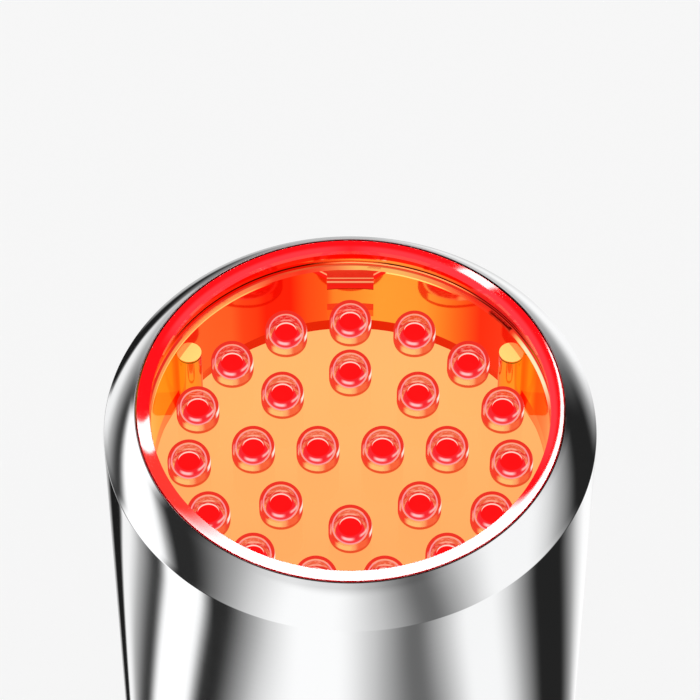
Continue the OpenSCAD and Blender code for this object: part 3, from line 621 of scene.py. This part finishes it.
# %% Window
made, net = finish("coated_window")
smear = net.noise(35.0, 4.0)
gloss = net.node("BsdfGlossy", sockets={"Roughness": 0.01 + 0.02 * smear})
through = net.node("BsdfTransparent", sockets={0: colour((1.0, 0.998, 0.995))})
net.end(net.blend(net.mirroring(), through, gloss))
WINDOW_ROUND, WINDOW_TURN = 0.12, 180
window = turned("clear_window", [
    (0, WINDOW_Z, 0),
    (WINDOW_R, WINDOW_Z, WINDOW_ROUND),
    (WINDOW_R, WINDOW_Z + WINDOW_T, WINDOW_ROUND),
    (0, WINDOW_Z + WINDOW_T, 0),
], WINDOW_TURN, closed=False)
stands_for(window, "front_window", made)

# %% [markdown]
# ## The light chamber
# The chamber wall is a mirror-gloss orange cup. It shows the glowing floor again, under a tint that is
# painted light: a metal-like base colour that changes with the angle, yellower behind the middle and deep
# red in narrow bands round the sides. The tops of the posts and of the ledge glow paler, as painted light
# from above, and darker tones are painted shade: in the foot groove, in the window cuts, on the posts and
# in the seat of the window.

# %% Painted tints round the chamber wall, and the heights and radii where its painted light and shade change
LEDGE_ORANGE = (1.0, 0.5, 0.13)
FOOT_Z = 154.11
SIDE_Z = (155.8, 156.0)
SILL_Z, CLIP_STEP_Z = (154.9, 155.4), (159.0, 159.4)
CUT_LOW_Z, CUT_PALE_Z = 155.0, (160.4, 160.6)
RED_SEAT_Z, SHADE_Z, THIN_SHADE_Z = (162.4, 162.5), (162.55, 162.76), (162.56, 162.78)
PALE_SEAT_Z, TOP_SEAT_Z = (162.8, 163.14), (163.12, 163.22)
# Radii where the ledge's painted shadow on the post tops begins
UNSHADED_POST_R = (17.85, 17.75)
WALL_TINTS = (
    # angle from the back towards the right, tint
    (-110, (1.0, 0.14, 0.03)), (-92, (1.0, 0.14, 0.03)), (-86, (1.0, 0.36, 0.08)), (-60, (1.0, 0.36, 0.08)),
    (-52, (1.0, 0.2, 0.08)), (-38, (1.0, 0.2, 0.09)),
    (-34, (1.0, 0.1, 0.04)), (-29, (1.0, 0.07, 0.025)), (-26, (1.0, 0.016, 0.008)),
    (-18, (1.0, 0.016, 0.008)), (-13, (1.0, 0.13, 0.04)), (-7, (1.0, 0.2, 0.06)), (-5, (1.0, 0.45, 0.13)),
    (8, (1.0, 0.68, 0.21)), (23, (1.0, 0.62, 0.18)), (28, (1.0, 0.45, 0.11)), (33, (1.0, 0.27, 0.06)),
    (38, (1.0, 0.12, 0.03)), (42, (1.0, 0.02, 0.002)), (51, (1.0, 0.016, 0.0)), (56, (1.0, 0.15, 0.03)),
    (60, (1.0, 0.4, 0.08)), (66, (1.0, 0.34, 0.06)), (71, (1.0, 0.16, 0.02)), (110, (1.0, 0.14, 0.03)))
print("tints round the wall", len(WALL_TINTS))

# %% Chamber wall: painted tints on the sides and painted shade on the posts
made, net = finish("chamber_amber")
around, radius, high = net.polar()
off_back = around.math("ABSOLUTE")
across, _, up = net.normal()
# Painted light: a tint by angle, and another on the lower side walls, colour the mirrored floor.
tint = net.along(around, WALL_TINTS)
low_side = off_back.ramp(58, 66) * high.ramp(*SIDE_Z[::-1])
tint = net.mix(low_side, tint, (1.0, 0.31, 0.19))
on_post = radius.ramp(CHAMBER_R - 0.03, CHAMBER_R - 0.08)
tint = net.mix(on_post, tint, (1.0, 0.42, 0.1))
# Painted shade on the posts: their sides that face left and right turn red, a band under the top dark.
tint = net.mix(on_post * across.math("ABSOLUTE").ramp(0.86, 0.95), tint, (0.95, 0.05, 0.02))
tint = net.mix(on_post * high.between(POST_TOP - 0.3, POST_TOP - 0.1, 0.06), tint, (0.25, 0.01, 0.0))

# %% Chamber wall: painted light and shade in the seat of the window
# The seat's tones are painted light and shade: orange behind the middle, deep red at the sides, a pale line,
# a red top, the dark shade lines, and on the right a dark patch that gets a red painted glow below.
seat = high.ramp(LEDGE_Z + 0.02, LEDGE_Z + 0.08)
behind = around.ramp(-16, -3) * around.ramp(48, 28)
seat_tint = net.mix(behind, (1.0, 0.022, 0.02), (1.0, 0.35, 0.1))
seat_tint = net.mix(behind * high.between(*PALE_SEAT_Z, 0.08), seat_tint, (1.0, 0.6, 0.28))
seat_tint = net.mix(high.ramp(*TOP_SEAT_Z), seat_tint, (1.0, 0.014, 0.016))
shade = high.between(*SHADE_Z, 0.04) * off_back.between(9, 58, 8)
thin_shade = behind * high.between(*THIN_SHADE_Z, 0.06) * 0.12
seat_tint = net.mix(shade + thin_shade, seat_tint, (0.03, 0.0, 0.0))
red_seat = seat * around.between(38, 84, 6)
seat_tint = net.mix(red_seat, seat_tint, (0.15, 0.004, 0.003))
tint = net.mix(seat, tint, seat_tint)

# %% Chamber wall: painted shade in the foot groove and the window cuts, painted light and shade on the steps
# Painted shade: the foot groove is darker and red.
groove_shade = high.ramp(FOOT_Z + 0.45, FOOT_Z + 0.36) * off_back.ramp(60, 35)
tint = net.mix(groove_shade, tint, (0.8, 0.028, 0.006))
# The sides of the window cuts are painted darker and red, as shade; their upper edge gets a pale painted
# highlight.
cut_side_shade = radius.ramp(CHAMBER_R + 0.04, CHAMBER_R + 0.1) * high.between(CUT_LOW_Z, LEDGE_Z, 0.1)
cut_edge_highlight = cut_side_shade * radius.between(CHAMBER_R + 0.5, CHAMBER_R + 0.68, 0.06) * high.ramp(*CUT_PALE_Z)
tint = net.mix(cut_side_shade, tint, (0.9, 0.05, 0.02))
# Up-facing steps: the clip step is painted dark red, as shade; the sill is painted paler, as light from
# above.
step = up.ramp(0.8, 0.95)
lit_sill = step * high.between(*SILL_Z, 0.1)
tint = net.mix(step * high.between(*CLIP_STEP_Z, 0.1), tint, (0.5, 0.006, 0.002))
tint = net.mix(lit_sill, tint, (1.0, 0.35, 0.06))

# %% Chamber wall: painted light, given as glow
post_top = step * high.between(POST_TOP - 0.1, POST_TOP + 0.1, 0.05)
ledge_line = high.between(LEDGE_Z - 0.2, LEDGE_Z, 0.06) * (1.0 - on_post)
ledge_line = ledge_line * (around.between(-88, -28, 10) + around.between(-4, 30, 10))
at_side = off_back.ramp(58, 66) * high.ramp(*SIDE_Z) * around.between(-89, 69, 6)
# Painted light: each of these parts of the wall is given a glow of its own.
painted_glow = net.mix(at_side, (0.03, 0.003, 0.0), (0.16, 0.13, 0.004))
painted_glow = net.mix(cut_side_shade, painted_glow, (0.5, 0.015, 0.008))
painted_glow = net.mix(lit_sill, painted_glow, (0.7, 0.11, 0.01))
painted_glow = net.mix(cut_edge_highlight, painted_glow, (0.95, 0.4, 0.18))
# The outer part of each post top is painted red, as the ledge's shadow; the inner part glows pale, as painted
# light.
unshaded_post_part = radius.ramp(*UNSHADED_POST_R)
painted_glow = net.mix(post_top, painted_glow, net.mix(unshaded_post_part, (0.85, 0.06, 0.02), (0.85, 0.43, 0.13)))
painted_glow = net.mix(ledge_line, painted_glow, LEDGE_ORANGE)
# A pale painted highlight line runs above the ledge behind the middle.
low_highlight_line = high.between(LEDGE_Z + 0.3, LEDGE_Z + 0.5, 0.05) * around.ramp(-9, 1) * around.ramp(45, 28)
painted_glow = net.mix(low_highlight_line, painted_glow, (1.0, 0.28, 0.11))
# The red patch of the seat on the right gets a red painted glow, except in the shade line.
painted_glow = net.mix(red_seat * high.ramp(*RED_SEAT_Z) * (1.0 - shade), painted_glow, (0.72, 0.012, 0.012))

# %% Chamber wall: its shader
streak = net.noise(160.0, 3.0, (1.0, 1.0, 0.08))
not_mirror = post_top.math("MAXIMUM", ledge_line.math("MAXIMUM", shade + low_highlight_line))
paint = net.node("BsdfPrincipled", sockets={
    "Base Color": tint, "Metallic": 1.0 - not_mirror,
    "Roughness": 0.05 + 0.05 * streak + 0.4 * groove_shade.math("MAXIMUM", post_top),
    "Specular IOR Level": 0.0, "Emission Color": painted_glow, "Emission Strength": 1.0,
    "Normal": net.bump(streak, 0.00002)})
net.end(paint)
AMBER = made

# %% [markdown]
# ## The seal, the clips and the floor
# The seal under the window is soft, translucent and lit from inside, so its tone runs round the ledge
# from pale orange to deep red, with painted shade on its outer part. The clips are deep red mouldings
# whose steps catch the light as two pale lines. The floor glows, a little paler towards the back, and
# the top edges of its stands carry painted red light. Light that comes from within a plastic could be
# had from subsurface scattering, at the price of many samples. Here each piece gives off a tone of its
# own, over a dark base colour, as painted light.

# %% The seal under the window
made, net = finish("gasket_amber")
around, radius, _ = net.polar()
soft = net.noise(500.0, 2.0)
glow = net.along(around, (
    (-110, (1.0, 0.06, 0.02)), (-88, (1.0, 0.12, 0.03)), (-76, (1.0, 0.34, 0.09)), (-40, (1.0, 0.36, 0.09)),
    (-29, (1.0, 0.2, 0.07)), (-23, (1.0, 0.05, 0.02)), (-14, (1.0, 0.03, 0.01)), (-9, (1.0, 0.07, 0.028)),
    (-4, (1.0, 0.22, 0.07)), (2, LEDGE_ORANGE), (14, LEDGE_ORANGE), (30, (1.0, 0.2, 0.06)),
    (40, (1.0, 0.03, 0.01)), (55.5, (1.0, 0.03, 0.01)), (58.5, (1.0, 0.6, 0.2)),
    (62, (1.0, 0.9, 0.55)), (76, (1.0, 0.9, 0.55)), (86, (1.0, 0.1, 0.03)), (110, (1.0, 0.06, 0.02))))
# The outer part of the seal is painted deeper red: painted shade.
shaded_outer_part = (radius + (around * -1.0).ramp(25, 50) * 0.1).ramp(18.6, 18.7)
shaded_outer_tone = net.mix(around.math("ABSOLUTE").ramp(14, 30), (0.8, 0.09, 0.03), (0.85, 0.018, 0.012))
glow = net.mix(shaded_outer_part, glow, shaded_outer_tone)
dash = around.between(45, 54.2, 0.8) * radius.between(18.4, 18.76, 0.04)
glow = net.mix(dash, glow, (0.09, 0.0, 0.0))
net.end(net.node("BsdfPrincipled", sockets={
    "Base Color": (0.03, 0.005, 0.002, 1.0), "Roughness": 0.5 + 0.2 * soft, "Specular IOR Level": 0.0,
    "Emission Color": net.mix(soft * 0.05 * (1.0 - dash), glow, (1.0, 0.5, 0.2)), "Emission Strength": 0.95}))
GASKET = made

# %% Snap clips
made, net = finish("clip_amber")
_, _, high = net.polar()
streak = net.noise(700.0, 2.0, (1, 1, 0.2))
glow = net.along(high, (
    (155.0, (0.9, 0.04, 0.008)), (156.3, (0.9, 0.03, 0.006)), (156.42, (0.75, 0.02, 0.005)),
    (159.1, (0.6, 0.01, 0.003)), (159.2, (1.0, 0.45, 0.2)), (159.34, (1.0, 0.45, 0.2)),
    (159.44, (0.8, 0.015, 0.006)), (159.72, (0.8, 0.015, 0.006)), (159.79, (1.0, 0.42, 0.18)),
    (159.88, (1.0, 0.42, 0.18)), (159.94, (0.8, 0.02, 0.01)), (160.7, (0.8, 0.03, 0.01))))
net.end(net.node("BsdfPrincipled", sockets={
    "Base Color": net.mix(streak, (0.1, 0.01, 0.002), (0.14, 0.015, 0.003)), "Roughness": 0.3,
    "Emission Color": net.mix(streak * 0.1, glow, (1.0, 0.2, 0.05)), "Emission Strength": 0.85}))
CLIPS = made

# %% The glowing floor with its stands
made, net = finish("carrier_glow")
x, y, z = net.place()
# The glow is painted paler towards the back.
back = (y / MM).ramp(-16, 18)
mottle = net.noise(90.0, 3.0)
glow = net.mix(back, (1.0, 0.42, 0.125), (1.0, 0.52, 0.165))
glow = net.mix(mottle * 0.08, glow, (1.0, 0.6, 0.25))
up = net.normal()[2]
# The top of each stand's sides is painted red: painted red light.
stand_edge_light = (z / MM).ramp(LED_Z - 0.24, LED_Z - 0.14) * up.ramp(0.5, 0.2)
glow = net.mix(stand_edge_light, glow, (0.85, 0.08, 0.02))
net.end(net.node("BsdfPrincipled", sockets={
    "Base Color": (0.12, 0.05, 0.02, 1.0), "Roughness": 0.6, "Specular IOR Level": 0.0,
    "Emission Color": glow, "Emission Strength": 0.92}))
CARRIER = made

# %% [markdown]
# ## The lamps
# Each LED is a hollow clear dome over a small red cup. What makes it read as a lamp is a deep red rim,
# where the eye looks along the wall of the dome, a fine pale circle, where it looks along the wall of
# the bulb inside, and a red core with a bright lip. Real refraction would need many samples and still
# miss the look, so the rims come from the Layer Weight node, which knows how steeply a surface is seen.
# A few pale spots at the moulding's edges are painted highlights: glints and streaks painted into the
# glow, and a painted view of the orange floor through the front. They are placed in the lamp's own
# measures, so all 25 lamps carry them alike.

# %% Places of the lamps
led_places = []
for count, ring_radius, first in LED_RINGS:
    for k in range(count):
        a = math.radians(first + 360.0 * k / count)
        led_places.append((ring_radius * math.cos(a), ring_radius * math.sin(a)))
print("lamps", len(led_places))


# %% A clear skin that glows where it is told to
def skin_net(name):
    """A new finish, with the lamp's own measures: x, y, height, angle round it, and the steepness."""
    made, net = finish(name)
    x, y, z = net.own_place()
    around = y.math("ARCTAN2", x) * math.degrees(1)
    return made, net, x, y, z - LED_Z, around, net.steepness()


class Layers:
    """A share of glow and its tone, built up from masks; what isn't glow is clear."""
    def __init__(self, net, share, tone):
        self.net, self.share, self.tone = net, share, colour(tone)

    def add(self, mask, tone, share):
        self.share = self.share + mask * (share - self.share)
        self.tone = self.net.mix(mask, self.tone, tone)

    def close(self, rough):
        net = self.net
        glow = net.node("BsdfPrincipled", sockets={
            "Base Color": colour(0.0), "Roughness": rough, "Specular IOR Level": 0.0,
            "Emission Color": self.tone, "Emission Strength": 1.0, "Alpha": self.share})
        gloss = net.node("BsdfGlossy", sockets={"Roughness": rough})
        net.end(net.blend(net.mirroring() * 0.1, glow, gloss))


# %% Skin of the domes
made, net, x, y, high, around, steep = skin_net("dome_skin")
vein = net.noise(900.0, 2.0)
in_cap = (high - LED_SIDE).math("MAXIMUM", 0.0).math("POWER", 2.0)
outside = (x * x + y * y + in_cap).math("SQRT").ramp(LED_R - 0.1, LED_R - 0.04)
on_side = outside * high.ramp(LED_SIDE - 0.05, LED_SIDE + 0.02, 1.0, 0.0)
skin = Layers(net, 0.015 + 0.015 * vein, (1.0, 0.12, 0.1))
skin.add((steep - 0.45 - 0.06 * on_side).ramp(0.0, 0.045), (0.88, 0.032, 0.02), 0.95)
skin.add(on_side * around.between(-75, -38, 18), (0.95, 0.06, 0.022), 0.8)
skin.add(on_side * around.between(-182, -124, 18), (0.94, 0.02, 0.014), 0.93)
# A painted pink highlight on the left of the dome, above the side.
skin.add((x * -1.0).between(1.7, 1.84, 0.1) * y.between(-0.95, -0.35, 0.25) * (1.0 - on_side),
         (1.0, 0.3, 0.3), 0.55)
skin.add(outside * high.ramp(0.22, 0.34, 1.0, 0.0), (0.82, 0.065, 0.018), 0.93)
skin.add(steep.ramp(0.93, 0.98), (0.8, 0.09, 0.035), 0.8)
# A painted view of the orange floor through the front of the side.
skin.add(on_side * around.between(-128, -82, 20) * high.between(0.3, 1.0, 0.1), (1.0, 0.54, 0.17), 0.75)
# A painted white glint on the right, along the join of dome and side.
skin.add(around.between(-28, 18, 12) * high.between(LED_SIDE - 0.36, LED_SIDE + 0.3, 0.16),
         (1.0, 0.86, 0.76), 1.0)
skin.close(0.05 + 0.04 * vein)
DOME_SKIN = made

# %% Skin of the bulbs
made, net, x, y, high, around, steep = skin_net("bulb_skin")
vein = net.noise(900.0, 2.0)
back = y.ramp(0.1, 0.5)
skin = Layers(net, 0.01 + 0.02 * vein, (1.0, 0.06, 0.06))
# Painted glints: pale streaks in the red glow at the back of the bulb.
glint = net.noise(2600.0, 3.0, (1.0, 1.0, 2.5)).ramp(0.46, 0.66)
skin.add(back * high.ramp(LED_SIDE + 0.35, LED_SIDE + 0.5, 1.0, 0.0),
         net.mix(glint, (0.8, 0.02, 0.02), (1.0, 0.22, 0.18)), 0.75)
# A painted pale arc on the back of the bulb, low down.
skin.add(x.between(-0.55, 0.55, 0.4) * back * high.between(LED_SIDE - 0.42, LED_SIDE - 0.26, 0.08),
         (1.0, 0.4, 0.33), 0.75)
# A painted pink streak on the front right of the bulb.
skin.add(around.between(-58, -20, 14) * high.between(LED_SIDE + 0.24, LED_SIDE + 0.56, 0.22),
         (1.0, 0.52, 0.5), 0.85)
line = steep.ramp(0.59, 0.65)
skin.add(line, net.mix(y.ramp(0.6, 1.2), (1.0, 0.32, 0.35), (1.0, 0.4, 0.24)), 0.95)
skin.close(0.05 + 0.04 * vein)
BULB_SKIN = made

# %% Domes and bulbs
DOME_TOP = LED_SIDE + LED_R
FOOT_ROUND, FOOT_LIFT, DOME_TURN = 0.08, 0.008, 64
BULB_TOP = LED_SIDE + BULB_R
BULB_FOOT_R = math.sqrt(BULB_R ** 2 - LED_SIDE ** 2)
BULB_TANGENT = BULB_R * math.tan(math.asin(LED_SIDE / BULB_R) / 2)
lens_section = [
    (0, LED_Z + BULB_TOP, 0),
    (BULB_R, LED_Z + BULB_TOP, BULB_R),
    (BULB_R, LED_Z + LED_SIDE - BULB_TANGENT, BULB_R),
    (BULB_FOOT_R, LED_Z + FOOT_LIFT, 0),
    (LED_R, LED_Z + FOOT_LIFT, FOOT_ROUND),
    (LED_R, LED_Z + DOME_TOP, LED_R),
    (0, LED_Z + DOME_TOP, 0),
]
lenses = turned("led_domes", lens_section, DOME_TURN, closed=False, places=led_places)
stands_for(lenses, "led_lenses", DOME_SKIN)
lenses.data.materials.append(BULB_SKIN)

# %% The faces of the hollow take the bulb's skin
SKIN_GAP = 0.05
own = np.empty(len(lenses.data.vertices) * 3, np.float32)
lenses.data.attributes["own_place"].data.foreach_get("vector", own)
own = own.reshape(-1, 3)
inner_faces = 0
for face in lenses.data.polygons:
    centre = own[list(face.vertices)].mean(axis=0)
    above = centre[2] - LED_Z - LED_SIDE
    if math.hypot(centre[0], centre[1], above) < BULB_R + SKIN_GAP and centre[2] > LED_Z + 2 * FOOT_LIFT:
        face.material_index = 1
        inner_faces += 1
print("faces of the bulbs", inner_faces)

# %% [markdown]
# ## The red cups
# Under each dome sits the cup that throws the chip's light upwards. From above it is a red disc in a
# thin lip, with a slightly paler flank below. The back half of the lip and a crescent on the front of the
# flank carry painted highlights. It could be a flat disc with a painted rim, but a real well with a real
# lip keeps its shape in every view, so it is turned like the other round pieces.

# %% Finish of the red cups
CORE_R, LIP_T, WAIST_R = 1.0, 0.04, 1.42
CORE_Z, LIP_Z, WAIST_Z = LED_SIDE - 0.1, LED_SIDE + 0.12, 0.45
made, net = finish("red_cup")
grain = net.noise(1500.0, 2.0)
x, y, z = net.own_place()
high = z - LED_Z
radius = (x * x + y * y).math("SQRT")
around = y.math("ARCTAN2", x) * math.degrees(1)
glow = net.mix(grain * 0.1, (0.98, 0.003, 0.005), (0.98, 0.012, 0.01))
outside = radius.ramp(CORE_R + 0.05, CORE_R + 0.12)
glow = net.mix(outside, glow, (0.86, 0.02, 0.03))
glow = net.mix(outside * high.ramp(0.85, 0.6), glow, (0.85, 0.055, 0.06))
# A painted pale crescent highlight on the front of the flank.
crescent_highlight = around.between(-126, -78, 26) * high.between(0.82, 1.08, 0.2) * outside
glow = net.mix(crescent_highlight, glow, (1.0, 0.58, 0.58))
# The back half of the lip is painted pale: a painted highlight.
lip_highlight = radius.ramp(CORE_R + 0.015, CORE_R + 0.005) * high.ramp(CORE_Z + 0.01, CORE_Z + 0.05)
lip_highlight = lip_highlight * y.ramp(0.0, 0.45)
glow = net.mix(lip_highlight, glow, (1.0, 0.7, 0.6))
net.end(net.node("BsdfPrincipled", sockets={
    "Base Color": (0.1, 0.0, 0.0, 1.0), "Roughness": 0.5 + 0.1 * grain, "Specular IOR Level": 0.0,
    "Emission Color": glow, "Emission Strength": 1.0}))

# %% Shape of the red cups
CUP_FOOT_R, CUP_STEM_R, CUP_FOOT_Z, CUP_STEM_Z = 0.7, 0.75, 0.02, 0.15
CUP_ROUND, WAIST_ROUND, LIP_ROUND, CUP_TURN = 0.05, 0.3, 0.02, 48
cups = turned("led_cups", [
    (0, LED_Z + CUP_FOOT_Z, 0),
    (CUP_FOOT_R, LED_Z + CUP_FOOT_Z, CUP_ROUND),
    (CUP_STEM_R, LED_Z + CUP_STEM_Z, CUP_ROUND),
    (WAIST_R, LED_Z + WAIST_Z, WAIST_ROUND),
    (CORE_R + LIP_T, LED_Z + LIP_Z, LIP_ROUND),
    (CORE_R, LED_Z + LIP_Z, LIP_ROUND / 2),
    (CORE_R, LED_Z + CORE_Z, LIP_ROUND),
    (0, LED_Z + CORE_Z, 0),
], CUP_TURN, closed=False, places=led_places)
stands_for(cups, "led_emitters", made)


# %% [markdown]
# ## Everything else
# The panel, the buttons and the pieces inside keep their CAD shapes. Each gets a finish of its kind:
# moulded plastic with a fine grain, soft rubber, brushed or plated metal, circuit boards with tracks
# under the lacquer. Small recipes cover them, and each changes colour and roughness a little over the
# surface.

# %% Recipes for plastics, rubber, metals and boards
def moulded(name, tone, rough, waves=1200.0, depth=0.000004, share=0.06):
    made, net = finish(name)
    grain = net.noise(waves, 3.0)
    cloud = net.noise(45.0, 2.0)
    lighter = [t + (1 - t) * share for t in tone]
    net.end(net.node("BsdfPrincipled", sockets={
        "Base Color": net.mix(cloud, tone, lighter), "Roughness": rough + 0.12 * (grain - 0.5),
        "Normal": net.bump(grain, depth)}))
    return made


def metal(name, tone, rough, stretch=(1, 1, 1), waves=800.0, depth=0.000004):
    made, net = finish(name)
    brush = net.noise(waves, 3.0, stretch)
    net.end(net.node("BsdfPrincipled", sockets={
        "Base Color": net.mix(brush, [t * 0.88 for t in tone], tone), "Metallic": 1.0,
        "Roughness": rough + 0.15 * (brush - 0.5), "Normal": net.bump(brush, depth)}))
    return made


def board(name, mask, track):
    made, net = finish(name)
    x, y, z = net.place()
    wave = net.noise(55.0, 1.0)
    lanes = ((x + z * 0.35 + wave * 0.01) * 900.0).math("SINE").ramp(0.75, 0.85)
    grain = net.noise(1500.0, 2.0)
    net.end(net.node("BsdfPrincipled", sockets={
        "Base Color": net.mix(lanes, mask, track), "Roughness": 0.3 + 0.15 * grain,
        "Normal": net.bump(lanes, 0.00002)}))
    return made


# %% Which finish each node takes
finishes = {
    "window_gasket": GASKET,
    "chamber_wall": AMBER,
    "chamber_clips": CLIPS,
    "led_carrier": CARRIER,
    "led_board": board("white_board", (0.85, 0.85, 0.83), (0.78, 0.78, 0.76)),
    "thermal_pad": moulded("thermal_pad", (0.46, 0.48, 0.52), 0.8),
    "heat_sink": metal("sink_metal", (0.75, 0.76, 0.78), 0.35, (1, 1, 0.05)),
    "chamber_screws": metal("screw_steel", (0.6, 0.6, 0.62), 0.3),
    "button_panel": moulded("panel_black", (0.012, 0.012, 0.013), 0.06, 2500.0, 0.000001, 0.01),
    "panel_gasket": moulded("seal_black", (0.03, 0.03, 0.03), 0.65),
    "power_button": chrome("button_chrome", (0.6, 0.605, 0.61), 0.22, 6000.0),
    "indicator_lenses": moulded("indicator_white", (0.85, 0.87, 0.87), 0.25, 2000.0, 0.000002),
    "chassis": moulded("chassis_grey", (0.62, 0.63, 0.64), 0.5),
    "main_board": board("green_board", (0.02, 0.17, 0.07), (0.04, 0.26, 0.12)),
    "board_parts": moulded("part_black", (0.03, 0.03, 0.032), 0.4),
    "battery_cell": moulded("cell_sleeve", (0.03, 0.12, 0.42), 0.25, 600.0, 0.00001),
    "battery_tabs": metal("nickel", (0.72, 0.71, 0.68), 0.3, (1, 0.05, 1)),
    "battery_pads": moulded("foam_grey", (0.12, 0.12, 0.13), 0.9, 900.0, 0.00008),
    "led_leads": moulded("wire_red", (0.5, 0.02, 0.015), 0.4),
    "charge_contacts": metal("contact_gold", (0.95, 0.72, 0.32), 0.15),
    "foot_pad": moulded("foot_rubber", (0.035, 0.035, 0.036), 0.7, 1800.0, 0.00002),
}
alike = {
    "tail_cap": CHROME, "mode_button": finishes["power_button"],
    "power_plunger": finishes["board_parts"], "mode_plunger": finishes["board_parts"],
    "power_switch": finishes["board_parts"], "mode_switch": finishes["board_parts"],
    "board_screws": finishes["chamber_screws"], "tail_screws": finishes["chamber_screws"],
    "battery_straps": finishes["panel_gasket"], "tail_seal": finishes["panel_gasket"],
    "battery_leads": finishes["led_leads"], "charge_leads": finishes["led_leads"],
    "charge_board": finishes["main_board"],
}
finishes.update(alike)
replaced = {"barrel", "lens_ring", "front_window", "led_lenses", "led_emitters"}
for name, made in finishes.items():
    mesh = node_of[name].data
    mesh.materials.clear()
    mesh.materials.append(made)
missing = sorted(set(node_of) - set(finishes) - replaced)
print("finished", len(finishes), "nodes; without a finish:", missing)
